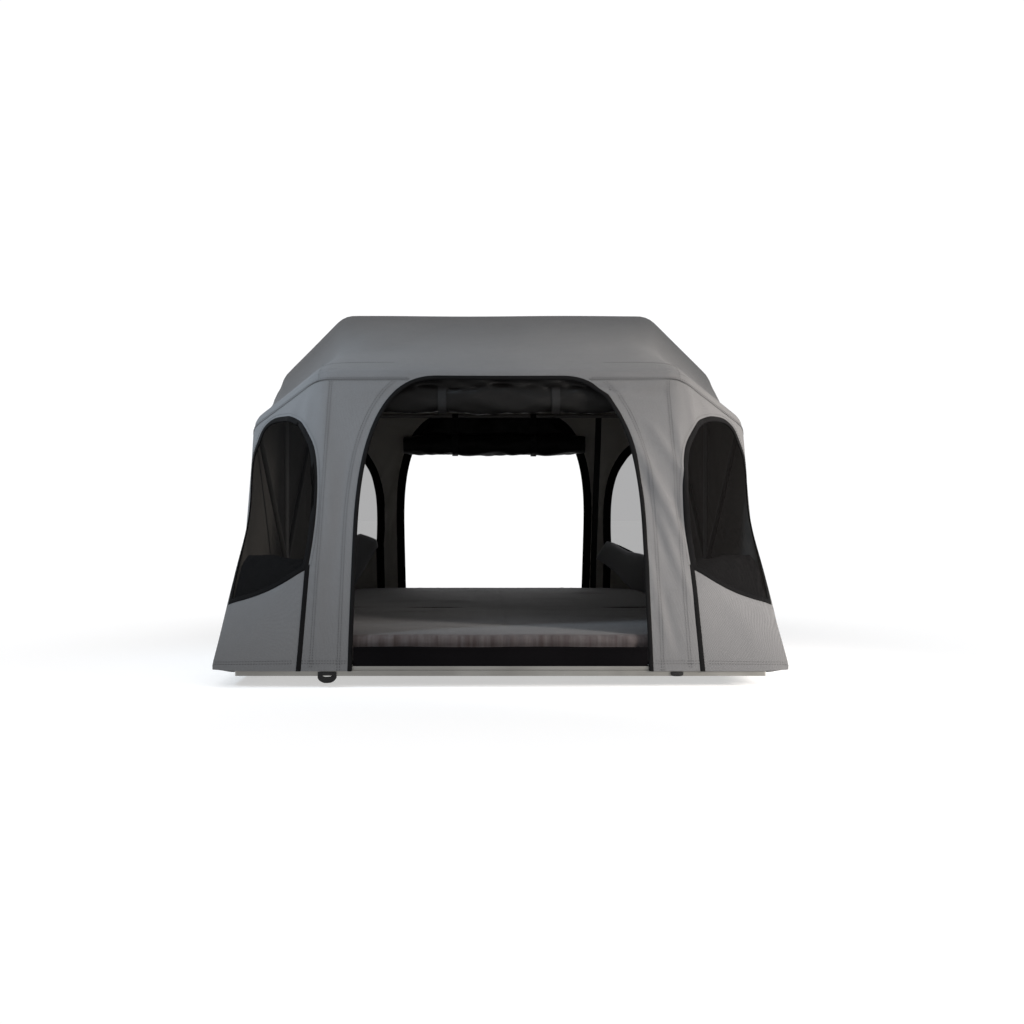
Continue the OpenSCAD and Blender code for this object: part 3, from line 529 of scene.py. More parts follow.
# The bows' tubes are alike: the front and rear ones are painted dark as painted shade, to sit in with the
# shaded lining, and the mid one light as a painted highlight
TUBE = metal("end_bow_tube_painted_shade", (0.085, 0.082, 0.077), (0.115, 0.11, 0.104), (0.4, 0.55), metallic=0.0)
LIT_MID_TUBE = metal("mid_bow_tube_painted_highlight", (0.30, 0.30, 0.30), (0.38, 0.38, 0.375), (0.4, 0.55), metallic=0.0)
STEEL = metal("zinc_steel", (0.50, 0.50, 0.51), (0.68, 0.68, 0.67), (0.25, 0.45), (20, 20, 20))
PLATE = metal("hinge_plate_steel", (0.30, 0.30, 0.29), (0.40, 0.395, 0.38), (0.38, 0.55), (30, 30, 4))
PANEL = plastic("floor_board", (0.24, 0.235, 0.22), (0.31, 0.30, 0.285), (0.45, 0.65), 140)
CAP = plastic("end_cap_nylon", (0.24, 0.235, 0.22), (0.30, 0.295, 0.28), (0.42, 0.6))
BOW_END = plastic("bow_end_nylon", (0.014, 0.014, 0.015), (0.026, 0.026, 0.027), (0.38, 0.55))
# The nets are alike; the front ones are drawn more opaque than the rear ones, as painted shade over the view
# into the tent
NETS = {"front": net_material("front_window_net_painted_shade", 0.84), "rear": net_material("rear_window_net", 0.60)}


def dress(mat, *names):
    for n in names:
        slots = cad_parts[n].data.materials
        slots.clear()
        slots.append(mat)


for half in ENDS:
    dress(PANEL, f"{half}_floor_panel")
    dress(RAIL, *(f"{half}_{rail}_rail{side}" for rail, side in
                  (("side", "_left"), ("side", "_right"), ("end", ""), ("hinge", ""))))
    dress(CAP, f"{half}_end_caps")
    dress(PLATE, f"{half}_hinge_plate_left", f"{half}_hinge_plate_right")
dress(MOUNT, "mounting_rail_left", "mounting_rail_right")
dress(STEEL, "mounting_rail_bolts", "hinge_pins", "hinge_washers", "hinge_nuts")
for bow, mat in (("front", TUBE), ("mid", LIT_MID_TUBE), ("rear", TUBE)):
    dress(mat, f"{bow}_bow_legs", f"{bow}_bow_hoop")
    dress(BOW_END, f"{bow}_bow_ends")


# Door and window outlines, matched point for point with the edges of their panels
N_SIDE = int(round(ARCH_V0 * NV))
N_ARCH = NV - N_SIDE
N_TURN = int(math.ceil((1 - ARCH_FLAT / FRONT.corner_x) * NA))
A = 1 - np.arange(1, NA + 1) / NA
ARCH_POWER = 0.8


def door_half(e):
    """Door outline from the hem to the middle of the arch, as x and height fraction, moved out by e."""
    top = ARCH_V - (BINDING - e) / WALL_L
    rising, turning = np.arange(1, N_ARCH + 1) / N_ARCH, np.arange(1, N_TURN + 1) / N_TURN
    a = np.radians(np.concatenate([45 * rising, 45 + 45 * turning]))
    c, s = np.clip(np.cos(a), 0, 1) ** ARCH_POWER, np.sin(a) ** ARCH_POWER
    flat = ARCH_FLAT * np.arange(NA - N_TURN - 1, -1, -1) / (NA - N_TURN)
    x = np.concatenate([np.full(N_SIDE + 1, DOOR_W + e), ARCH_FLAT + (DOOR_W + e - ARCH_FLAT) * c, flat])
    v = np.concatenate([V[:N_SIDE + 1], ARCH_V0 + (top - ARCH_V0) * s, np.full(len(flat), top)])
    return coords(x, v)


def frame_half(b):
    x = np.concatenate([b.wall_half(V) + b.reach * panel_width(V), A * (b.corner_x + b.reach * PANEL_TOP_W)])
    return coords(x, np.append(V, np.ones(NA)))


def both_sides(half):
    return np.concatenate([half, half[-2::-1] * [-1, 1]])


def ruled(a, b):
    """A grid between two lines, sample by sample, as its two coordinates."""
    q = lerp(a[:, None], b[:, None], np.linspace(0, 1, NT + 1)[None, :, None])
    return q[..., 0], q[..., 1]


def end_wall(b):
    return b.wall(*ruled(both_sides(door_half(0.002)), both_sides(frame_half(b))))


# Window outlines as panel fractions: up the outer side, over the arch and down the inner side, then the foot
WINDOW_OVER = [
    (0.97, 0.246), (0.985, 0.33), (0.992, 0.45), (0.992, 0.58), (0.982, 0.69), (0.955, 0.77), (0.90, 0.835),
    (0.815, 0.885), (0.75, 0.925), (0.67, 0.939), (0.58, 0.938), (0.468, 0.922), (0.355, 0.900)]
WINDOW_DOWN = {
    FRONT: [(0.243, 0.869), (0.157, 0.835), (0.088, 0.795), (0.0, 0.73), (-0.048, 0.637), (-0.066, 0.53),
            (-0.060, 0.43), (-0.046, 0.37), (-0.030, 0.322)],
    REAR: [(0.243, 0.878), (0.145, 0.85), (0.06, 0.812), (0.0, 0.777), (-0.095, 0.705), (-0.152, 0.62),
           (-0.172, 0.54), (-0.170, 0.45), (-0.16, 0.38), (-0.145, 0.322)]}
WINDOW_FOOT = [(0.22, 0.290), (0.45, 0.268), (0.70, 0.254), (0.97, 0.246)]
PER = 12


def window_low(u):
    return np.interp(u, *np.array([(-0.145, 0.322), (-0.030, 0.321)] + WINDOW_FOOT).T)


def window_marks(b):
    """The outline as a closed line of points, and where along it each sample of the panel's edge belongs."""
    over = spline(WINDOW_OVER + WINDOW_DOWN[b], PER)
    foot = spline(WINDOW_DOWN[b][-1:] + WINDOW_FOOT, PER)
    k, n, m = 7 * PER, len(over) - 1, len(foot) - 1
    top = (len(WINDOW_OVER) + 1) * PER
    out = np.interp(V[:-1], [0, 0.25, 0.8, 1], [0, 0.8 * PER, 6 * PER, k])
    down = np.interp(1 - V[:0:-1], [0, 0.22, 0.65, 1], [top, top + 2 * PER, n - 1.2 * PER, n])
    marks = np.concatenate([n + m * np.arange(NU) / NU, out, k + (top - k) * np.arange(NU) / NU, down])
    return np.concatenate([over[:-1], foot[:-1]]), marks


def window_line(b, e):
    """Window outline drawn in by e: foot, outer side, arch, inner side."""
    line, marks = window_marks(b)
    p = coords(line[:, 0] * panel_width(line[:, 1]), line[:, 1] * WALL_L)
    d = unit(np.roll(p, -1, 0) - p)
    n = coords(-d[:, 1], d[:, 0])
    mitre = n + np.roll(n, 1, 0)
    p = p + e * mitre / np.maximum((mitre * n).sum(-1, keepdims=True), 0.5)
    v = np.clip(p[:, 1] / WALL_L, 0, 0.985)
    q = coords(np.minimum(p[:, 0] / panel_width(v), 0.9985), v)
    q = np.concatenate([q, q[:1]])
    return coords(*(np.interp(marks, np.arange(len(q)), c) for c in q.T))


def panel_line(b):
    u = lerp(b.reach, 1, U)
    return np.concatenate([coords(u[:-1], 0), coords(1, V[:-1]),
                           coords(u[:0:-1], 1), coords(b.reach, V[:0:-1])])


def corner_panel(b, side):
    hole, edge = (np.concatenate([line, line[:1]]) for line in (window_line(b, 0.003), panel_line(b)))
    return flip(b.corner(*ruled(hole, edge)), side)


def bow_row(b):
    half = np.concatenate([b.corner(lerp(b.reach, 1, U[::-1]), 1.0),
                           b.bar(A * (b.corner_x + b.reach * PANEL_TOP_W))])
    return np.concatenate([half, flip(half[-2::-1])])


def drawn_in():
    """How much of the shoulders' sag each point of a roof row takes."""
    u = np.concatenate([lerp(MID.reach, 1, U[::-1]), MID.reach - (1 - A) * FRONT.corner_x / PANEL_TOP_W])
    half = np.sin(np.pi / 2 * np.clip((1 - u) / 0.35, 0, 1)) * smooth((u + 0.4) / 0.55)
    return SHOULDER_SAG * np.concatenate([half, half[-2::-1]])


def roof_rows():
    """Rows of the roof from bow to bow, sagging a little, with the shoulders drawn in between the bows."""
    rows = []
    for a, b in ((FRONT, MID), (MID, REAR)):
        t = np.arange(NR + (b is REAR)) / NR
        s = np.sin(np.pi * t)[:, None]
        row = lerp(bow_row(a)[None], bow_row(b)[None], t[:, None, None])
        row[..., 0] -= np.sign(row[..., 0]) * s * s * drawn_in()
        row[..., 2] -= s * ROOF_SAG + s * s * drawn_in()
        rows.append(row)
    return np.concatenate(rows)


ROOF = roof_rows()


def side_hem(t):
    out = np.where(t < 0, FRONT.hem_w, REAR.hem_w) + SIDE_FLARE
    return coords(lerp(MID.hem_w, out, np.abs(t)), SIDE_END * t, HEM_Z)


def side_wall(side):
    """Columns from the front corner to the rear corner, each from the return under the hem to the roof."""
    t = np.linspace(-1, 1, 2 * NR + 1)
    cols = lerp(side_hem(t)[:, None], ROOF[:, :1], V[None, :, None])
    cols[..., 0] -= SIDE_IN * np.sin(np.pi * V)[None] * np.abs(t)[:, None]
    k = (np.arange(NK) / NK)[:, None, None]
    front = lerp(FRONT.corner(1.0, V)[None], cols[:1], k)
    rear = lerp(cols[-1:], REAR.corner(1.0, V)[None], k + 1 / NK)
    cols = np.concatenate([front, cols, rear])
    hem = cols[:, 0]
    back = hem.copy()
    back[:, 0] = BASE_X + FLANGE_GAP + PLATE_GAP * smooth((PLATE_END - np.abs(hem[:, 1])) / 0.06)
    back[:, 2] = HEM_Z - FLANGE_DROP
    hinge = np.abs(hem[:, 1]) < HINGE_GAP
    back[hinge] = hem[hinge]
    flange = lerp(back[:, None], hem[:, None], (np.arange(N_FLANGE) / N_FLANGE)[None, :, None])
    return flip(np.concatenate([flange, cols], 1), side)


def eased(points, faces):
    """The cloth rounded where it bends over the bows, with its open edges left where they are."""
    edges = np.array([(a, b) for f in faces for a, b in zip(f, f[1:] + f[:1])])
    both = np.concatenate([edges, edges[:, ::-1]])
    single, count = np.unique(np.sort(edges, axis=1), axis=0, return_counts=True)
    phi, r = polar(points)
    off = np.radians(np.min([np.abs(phi - b.tilt) for b in TURNED], axis=0)) * r
    share = 0.6 * smooth((0.034 - off) / 0.022) * (r > 0.3)
    share[np.unique(single[count == 1])] = 0
    near = np.zeros(len(points))
    np.add.at(near, both[:, 0], 1)
    start = points
    for _ in range(5):
        mean = np.zeros_like(points)
        np.add.at(mean, both[:, 0], points[both[:, 1]])
        points = lerp(points, mean / near[:, None], share[:, None])
    moved = points - start
    far = np.linalg.norm(moved, axis=1, keepdims=True)
    return start + moved * np.minimum(1, EASE_MAX / np.maximum(far, 1e-9))


# Canopy: one sheet with its door and window openings, lined inside
patches = [end_wall(FRONT), end_wall(REAR), ROOF, side_wall(-1), side_wall(1)]
patches += [corner_panel(b, s) for b in (FRONT, REAR) for s in (-1, 1)]
points, faces = weld(patches)
outer = eased(on_cloth(points), faces)
points, faces, ids = with_thickness(outer, faces, outer + inward(outer) * CLOTH_T)
canopy = settle(make("canopy", points, faces, [CANOPY, LINING], ids, angle=70), "canopy",
                "roof", "front_wall", "rear_wall", "side_wall_left", "side_wall_right", "front_left_corner",
                "front_right_corner", "rear_left_corner", "rear_right_corner")


# Bindings: a tape folded over the edge of each opening, as margin from the edge and height above the cloth
DOOR_TAPE = 0.001 * np.array([
    (-1.4, -0.8), (-0.7, 0.9), (1.5, 1.9), (5, 2.1), (8.5, 1.9), (9.9, 1.0), (10.3, -0.4), (10.6, -1.75),
    (22, -1.8), (33.4, -1.75), (34.0, -2.5), (33.0, -3.3), (18, -3.8), (1.5, -3.6), (-0.7, -2.5)])
WINDOW_TAPE = 0.001 * np.array([
    (14.6, -0.8), (13.9, 1.2), (12.5, 2.2), (7, 2.5), (1.5, 2.2), (-1.2, 1.0), (-1.6, -0.4), (-1.9, -1.75),
    (-10, -1.8), (-18.4, -1.75), (-19.0, -2.5), (-18.0, -3.3), (-8, -3.8), (7, -4.0), (12.5, -3.7),
    (14.2, -2.6)])
ZIP_TAPE = 0.001 * np.array([
    (-6.6, 0), (-5.5, 1.9), (0, 2.3), (5.5, 1.9), (6.6, 0), (7.0, -1.75), (16.4, -1.8), (17.0, -2.5),
    (16.0, -3.4), (0, -3.9), (-16.0, -3.4), (-17.0, -2.5), (-16.4, -1.8), (-7.0, -1.75)])
ZIP_TOP_V, ZIP_LEAN = 0.335, 0.04


def sewn(section, line, side=1):
    """Rings of a tape along the cloth, where line(e) is its run at the margin e."""
    return np.stack([on_cloth(flip(line(e), side), h) for e, h in section], 1)


def door_tape(b):
    def line(e):
        x, v = both_sides(door_half(e)).T
        return b.wall(x, np.minimum(v, 0.989))
    return sewn(DOOR_TAPE, line)


def window_tape(b, side):
    return sewn(WINDOW_TAPE, lambda e: b.corner(*window_line(b, e).T), side)


def zip_tape(b, side):
    """The black strip that runs on from a window's inner edge down to the hem."""
    v = np.linspace(0.0, ZIP_TOP_V, 40)
    return sewn(ZIP_TAPE, lambda e: b.corner(b.zip_u - ZIP_LEAN * v + e / panel_width(v), v), side)


for end, b in ENDS.items():
    settle(make(f"{end}_door_tape", *tube_part(door_tape(b)), TRIM), "black_trim", f"{end}_door_binding")
    tapes = [tube_part(window_tape(b, s), True) for s in (-1, 1)]
    tapes += [tube_part(zip_tape(b, s)) for s in (-1, 1)]
    settle(joined(f"{end}_window_tapes", tapes, TRIM), "black_trim", f"{end}_window_bindings")


# Window nets: slightly slack, sewn in under the tapes
def net(b, side):
    line = window_line(b, 0.006)
    hub = np.array([0.5, 0.56])
    t = np.linspace(0, 1, 25)[1:] ** 0.8
    q = lerp(hub, line[None], t[:, None, None])
    slack = 0.0016 * (1 - t[:, None] ** 2) * np.sin(34 * q[..., 0] + 6 * q[..., 1])
    p = on_cloth(b.corner(q[..., 0], q[..., 1]), -0.0009 + slack)
    n, m = p.shape[:2]
    faces = grid_faces(n, m, False, True).tolist()
    faces += [[n * m, j, (j + 1) % m] for j in range(m)]
    points = np.concatenate([p.reshape(-1, 3), p[0].mean(0)[None]])
    return flip(points, side), faces


for end, b in ENDS.items():
    for side, s in SIDES.items():
        piece = settle(make(f"{end}_{side}_net", *net(b, s), NETS[end]), "mesh", f"{end}_{side}_window")


# Seams and stitches, drawn along lines on the cloth
def dashes(line, pitch=0.0075, long=0.0052, wide=0.0009, tall=0.0009):
    """Stitches along a line of points on the cloth, each a small raised lozenge."""
    steps = np.linalg.norm(np.diff(line, axis=0), axis=1)
    walk = np.append(0, np.cumsum(steps))
    n = int(walk[-1] / pitch)
    at = (np.arange(n) + 0.5) * pitch
    a, b = (coords(*(np.interp(d, walk, c) for c in line.T)) for d in (at - long / 2, at + long / 2))
    mid = (a + b) / 2
    up = -inward(mid)
    across = unit(np.cross(unit(b - a), up)) * wide
    up = up * tall
    ring = np.stack([a + up * 0.1, mid + across + up * 0.4, b + up * 0.1, mid - across + up * 0.4,
                     mid + up * 1.4, mid - up * 0.6], 1)
    face = np.array([[0, 1, 4], [1, 2, 4], [2, 3, 4], [3, 0, 4], [1, 0, 5], [2, 1, 5], [3, 2, 5], [0, 3, 5]])
    faces = (face[None] + 6 * np.arange(n)[:, None, None]).reshape(-1, 3)
    return ring.reshape(-1, 3), faces.tolist()


def strip_part(lines):
    """A low raised band through three or more lines of points."""
    p = np.stack(lines, 1)
    low = p[:, ::-1] + inward(p[:, ::-1]) * 0.0012
    return tube_part(np.concatenate([p, low], 1))


def mirrored(lines):
    return [on_cloth(flip(p, s), 0.0004) for p in lines for s in (-1, 1)]


SIDE = side_wall(1)[:, N_FLANGE:]
EAVE_END_X = 0.258
STITCH_ROW = 6


def hem_loop(z):
    """Lines round the foot of the canopy at a height, right-hand half, open where the base folds."""
    lines = []
    for b in (FRONT, REAR):
        v = b.at_height(z)[0]
        lines.append(b.wall(np.linspace(DOOR_W + BINDING, WALL_HEM_W, 20), v))
        lines.append(b.corner(np.linspace(0.06, 1, 24), v))
    row = (z - HEM_Z) / 0.55 * NV
    k = int(row)
    hem = lerp(SIDE[:, k], SIDE[:, k + 1], row - k)
    return lines + [hem[hem[:, 1] <= 0], hem[hem[:, 1] > 0]]


def eave_line(b, v):
    """Along the eave from a corner's edge to the door's arch, right-hand half."""
    x = np.linspace(b.wall_half(EAVE_V), EAVE_END_X, 30)[1:]
    return np.concatenate([b.corner(np.linspace(1, 0, 30), v), b.wall(x, v)])


def stitched(b):
    """Lines of stitches on one end: post, door, eave, shoulder, window."""
    post_v = np.linspace(0.01, EAVE_V - 0.005, 70)
    lines = [b.corner(b.zip_u - d / panel_width(post_v), post_v) for d in (0.028, 0.035)]
    for e in (0.031, 0.038):
        q = door_half(e)
        lines.append(b.wall(*q[q[:, 1] < EAVE_V - 0.004].T))
    lines += [eave_line(b, EAVE_V + d) for d in (-0.0050, 0.0050)]
    over = lerp(b.shoulder(0.0), MID.shoulder(0.0), (np.arange(1, STITCH_ROW + 1) / NR)[:, None])
    lines.append(np.concatenate([b.corner(0.004, np.linspace(EAVE_V, 0.999, 8)), over]))
    lines.append(b.corner(*window_line(b, -0.009)[NU + 42:].T))
    return lines


stitch_lines = mirrored(hem_loop(HEM_Z + 0.019) + hem_loop(HEM_Z + 0.026))
seam_parts = []
for b in (FRONT, REAR):
    stitch_lines += mirrored(stitched(b))
    for s in (-1, 1):
        band = [on_cloth(flip(eave_line(b, EAVE_V + d), s), h)
                for d, h in ((-0.0021, 0), (-0.0014, 0.0011), (0.0014, 0.0011), (0.0021, 0))]
        seam_parts.append(strip_part(band))
stitch_lines += mirrored([ROOF[k][NU - 3:NU + 12] for k in (STITCH_ROW, 2 * NR - STITCH_ROW)])
stitch_lines += mirrored([SIDE[NK:-NK, int(round(EAVE_V * NV)) - 1]])

# The seam bands wear the darker seam cloth: painted shadow along the lapped seams
settle(joined("canopy_seams", seam_parts, SEAM_SHADOW), "canopy")
settle(joined("canopy_stitches", [dashes(p) for p in stitch_lines], THREAD), "canopy")


# Window flaps: let down inside, folded over, with a piped edge. A front flap's section, in millimetres:
# distance in, height at its inner end, and rise to its outer end
FRONT_FLAP = [(6, 2, 0), (10, 2, 90), (22, 4, 148), (42, 4, 160), (60, 2, 106), (68, -16, 0), (64, -56, 0),
              (70, -92, 0)]


def front_flap(side):
    """Bunched up against the lower part of the net."""
    u = np.linspace(0.05, 0.90, 37)
    rows = []
    for k, (inn, up0, up1) in enumerate(FRONT_FLAP):
        up = (up0 + up1 * u ** 0.7) / 1000
        foot = FRONT.corner(u, window_low(u) + 0.008 + np.maximum(up, 0) / WALL_L)
        fold = 0.005 * np.sin(np.radians(600 * u + 40 * k)) * min(1, k / 3)
        p = foot + level_inward(foot) * (inn / 1000 + fold)[:, None]
        p[:, 2] += np.minimum(up, 0) + 0.6 * fold
        rows.append(p)
    g = spline(rows, 6)
    i = np.linspace(0, 1, len(g))[:, None]
    wave = 0.0035 * np.sin(21 * u + 9 * i) * np.sin(7 * i * np.pi) * smooth(i * 4)
    return flip(g + level_inward(g) * wave[..., None], side)


# A rear flap's top above the window's foot and its length below it, by panel fraction; then its section, as
# distance in, height up to the top and share of the length down
FLAP_TOP = {1: [(-0.13, 0.000), (0.05, -0.010), (0.22, -0.008), (0.45, 0.012), (0.9, 0.02)],
            -1: [(-0.04, 0.012), (0.2, 0.076), (0.5, 0.090), (0.9, 0.07)]}
FLAP_HANG = {1: [(-0.13, 0.062), (0.10, 0.100), (0.45, 0.165), (0.9, 0.18)],
             -1: [(-0.04, 0.014), (0.2, 0.075), (0.5, 0.15), (0.9, 0.17)]}
FLAP_SECTION = [
    (6, 0, 0), (9, 0.8, 0), (18, 1, 0), (32, 0.9, 0.02), (46, 0.3, 0.12), (54, 0, 0.4), (56, 0, 0.75),
    (54, 0, 0.97), (46, 0, 1.0), (40, 0, 0.8), (36, 0, 0.45), (30, 0, 0.22), (24, 0, 0.32), (20, 0, 0.7)]


def rear_flap(side):
    """Turned down over the foot of the net, its inner corner folded over and its end turned up behind."""
    u = np.linspace(FLAP_TOP[side][0][0], 0.90, 45)
    top, hang = (np.interp(u, *np.array(line[side]).T) for line in (FLAP_TOP, FLAP_HANG))
    rows = []
    for k, (inn, up, down) in enumerate(FLAP_SECTION):
        swing = u - (side > 0) * 0.15 * down * (1 - smooth((u + 0.13) / 0.5))
        foot = REAR.corner(swing, window_low(u) + 0.004 + (top + 0.012) * up / WALL_L)
        fold = 0.004 * np.sin(9.4 * u + 0.7 * k) * min(1, k / 4)
        p = foot + level_inward(foot) * (inn / 1000 + fold * (k < 8))[:, None]
        p[:, 2] -= hang * down
        rows.append(p)
    return flip(spline(rows, 5), side)


def rope(line, r, sides=6):
    """Tube of radius r along a line of points."""
    d = unit(np.gradient(line, axis=0))
    side = unit(np.cross(d, [0.13, 0.21, 0.97]))
    up = np.cross(d, side)
    a = (np.arange(sides) * 2 * math.pi / sides)[None, :, None]
    return line[:, None] + r * (np.cos(a) * side[:, None] + np.sin(a) * up[:, None])


for end, flap, flat in (("front", front_flap, (0.40, 0.34)), ("rear", rear_flap, (0.50, 0.36))):
    grids = [flap(-1), flap(1)]
    edges = [np.concatenate([g[:, 0], g[-1, 1:], g[-2::-1, -1]]) for g in grids]
    piece = joined(f"{end}_flaps", [sheet_of(g, 0.002) for g in grids], FLAP)
    settle(piece, "flap", f"{end}_window_flaps")
    piping = settle(joined(f"{end}_flap_piping", [tube_part(rope(e, 0.0022)) for e in edges], PIPING), "flap")


# Rolled doors: the cloth comes down from the arch and is rolled up inside it, drawn in by two straps.
# Each roll's half depth, half height and drop of its middle, and the seed of its wrinkles
ROLLS = {"front": (0.030, 0.048, 0.066), "rear": (0.034, 0.050, 0.120)}
SEEDS = {"front": 0.7, "rear": 2.1}
ROLL_HANG, ROLL_IN, TURNS, N_ROLL = 0.0085, 0.066, 4.4, 132
STRAP_X, STRAP_HALF, STRAP_EASE = 0.165, 0.012, 1.02


def pinch(x):
    return 1 - 0.105 * bell((np.abs(x) - STRAP_X) / 0.040)


def roll_centre(b, size):
    z = float(b.bar(0.0)[2]) - ROLL_HANG - size[2]
    return b.at_height(z)[1] - b.end * ROLL_IN, z


def creases(x, a, seed):
    """Wrinkles of the rolled cloth, the same in every turn."""
    return (0.050 * np.sin(3 * a + 21 * x + seed) + 0.034 * np.sin(5 * a - 37 * x + 2 * seed)
            + 0.030 * np.abs(np.sin(2 * a + 55 * x + 3 * seed)) - 0.02
            + 0.016 * np.sin(7 * a + 90 * x - seed))


def door_cloth(b, size, seed):
    x = np.linspace(-(DOOR_W - 0.010), DOOR_W - 0.010, 97)
    yc, zc = roll_centre(b, size)
    turn = np.clip((np.abs(x) - ARCH_FLAT) / (DOOR_W - ARCH_FLAT), 0, 1) ** (1 / ARCH_POWER)
    arch = ARCH_V0 + (ARCH_V - BINDING / WALL_L - ARCH_V0) * np.sin(np.arccos(turn)) ** ARCH_POWER
    top = b.wall(x, arch + 0.004)
    a = math.radians(140) + np.linspace(0, TURNS * 2 * math.pi, N_ROLL)[:, None]
    ends = 1 - 0.30 * (np.abs(x) / DOOR_W) ** 6
    k = np.linspace(1, 0.2, N_ROLL)[:, None] * pinch(x) * ends * (1 + creases(x, a, seed))
    roll = coords(x, yc - b.end * size[0] * k * np.cos(a), zc + size[1] * k * np.sin(a))
    start = top - [0, b.end * 0.009, 0]
    start[:, 2] = np.maximum(start[:, 2], roll[0, :, 2] + 0.006)
    start[:, 1] = np.where(start[:, 2] > top[:, 2] + 0.001, roll[0, :, 1], start[:, 1])
    t = np.linspace(0, 1, 14)[:-1, None]
    drop = lerp(start[None], roll[:1], t[..., None])
    bulge = 0.006 * np.sin(26 * x + seed) + 0.005 * np.sin(61 * x + 2 * seed) + 0.004
    drop[..., 1] -= b.end * np.sin(np.pi * t) * bulge
    return np.concatenate([drop, roll])


def web(low, high, half=STRAP_HALF):
    """Corners of a strap's section: distance across it, and height."""
    return (-half, low), (half, low), (half, high), (-half, high)


def strap_parts(b, size, x, seed):
    """A webbing band round the roll, its loop over the bow tube, and the riser between them."""
    yc, zc = roll_centre(b, size)
    bar = b.stand(0.0, b.length)
    a = np.radians(np.arange(0, 360, 7.5))
    k = STRAP_EASE * pinch(x) * (1 + creases(x, a, seed))

    def ring(at, centre, half_y, half_z):
        return coords(at, centre[0] + half_y * np.cos(a), centre[1] + half_z * np.sin(a))

    band = [ring(x + dx, (yc, zc), -b.end * (size[0] * k + h), size[1] * k + h)
            for dx, h in web(0.0006, 0.0026)]
    loop = [ring(x + dx, bar[1:], r, r) for dx, r in web(TUBE_R + 0.0004, TUBE_R + 0.0022)]
    foot = np.array([x, yc, zc + size[1] * pinch(x) * STRAP_EASE])
    head = np.array([x, bar[1] - b.end * 0.002, bar[2] - TUBE_R - 0.001])
    line = spline([foot, lerp(foot, head, 0.4) + [0, -b.end * 0.006, 0.002], head], 8)
    n = unit(np.cross(unit(np.gradient(line, axis=0)), [1, 0, 0]))
    riser = [line + [dx, 0, 0] + n * h for dx, h in web(-0.001, 0.001)]
    return [tube_part(np.stack(rings, 1), closed)
            for rings, closed in ((band, True), (loop, True), (riser, False))]


for end, b in ENDS.items():
    size, seed = ROLLS[end], SEEDS[end]
    cloth = make(f"{end}_rolled_door", *sheet_of(door_cloth(b, size, seed), 0.0012), DOOR, angle=60)
    parts = [q for x in (-STRAP_X, STRAP_X) for q in strap_parts(b, size, x, seed)]
    piece = settle(cloth, "door_cloth", f"{end}_door_roll")
    straps = settle(joined(f"{end}_door_straps", parts, WEBBING), "webbing", f"{end}_roll_straps")


# Webbing on the inside of the rear wall, from the bow down to the base
REAR_STRAP_X = 0.444


def rear_strap():
    v = np.linspace(0.02, 0.985, 48)
    sway = -0.002 * np.sin(np.pi * v) ** 2 + 0.0012 * np.sin(17 * v)
    return np.stack([on_cloth(REAR.wall(REAR_STRAP_X + dx, v), h + sway)
                     for dx, h in web(-0.0045, -0.0063, 0.0125)], 1)


piece = settle(make("rear_wall_strap", *tube_part(rear_strap()), WEBBING), "webbing")


# Mattress halves: drawn-in sides, rounded edges, a crowned and rumpled top. Half width, half length, middle
# from the hinge, height and border; then the edge's section, in mm: distance in, height, pull of the sides
PAD_W, PAD_L, PAD_MID, PAD_H, BORDER_W = 0.640, 0.580, 0.584, 0.063, 0.027
PAD_SECTION = [
    (16, 0, 0), (4, 5, 2), (0, 14, 6), (1, 28, 9), (1, 44, 8), (1, 54, 6), (5, 64, 4), (14, 71, 2),
    (28, 73.5, 0), (52, 74.6, 0), (110, 76, 0), (200, 77.4, 0), (320, 78.2, 0), (440, 78.5, 0),
    (540, 78.5, 0)]
PAD_DRAWN_H, FRONT_RISE, LIP = 74, 0.016, 0.0024

# Dents in the top, or swells where the depth is below 0: x, y, half length, half width, depth, slant
DENTS = {
    -1: [(-0.27, 0.34, 0.10, 0.014, 0.0055, 0.05), (-0.20, 0.375, 0.12, 0.02, -0.0035, 0),
         (0.28, 0.42, 0.16, 0.022, 0.003, -0.08), (0.02, 0.0, 0.006, 0.40, 0.0022, 0),
         (0.40, 0.15, 0.12, 0.03, 0.0028, 0.1), (-0.45, 0.05, 0.03, 0.16, 0.0026, 0.1)],
    1: [(-0.30, -0.30, 0.18, 0.030, -0.005, 0.06), (-0.16, -0.34, 0.06, 0.03, -0.006, 0),
        (0.22, -0.20, 0.12, 0.03, -0.005, -0.05), (0.02, 0.0, 0.006, 0.40, 0.0022, 0),
        (0.36, 0.12, 0.10, 0.03, -0.006, 0), (-0.10, 0.25, 0.12, 0.04, -0.004, 0)]}


def rounded_square(a, power):
    """Points of a square with rounded corners at the angles a."""
    c, s = np.cos(a), np.sin(a)
    m = (np.abs(c) ** power + np.abs(s) ** power) ** (-1 / power)
    return m * c, m * s


def gather(along):
    """Puckers of the border along its length."""
    return (np.sin(330 * along + 3 * np.sin(23 * along)) * (0.55 + 0.45 * np.sin(41 * along + 1.1))
            + 0.6 * np.sin(190 * along + 2.0 * np.sin(31 * along) + 0.5))


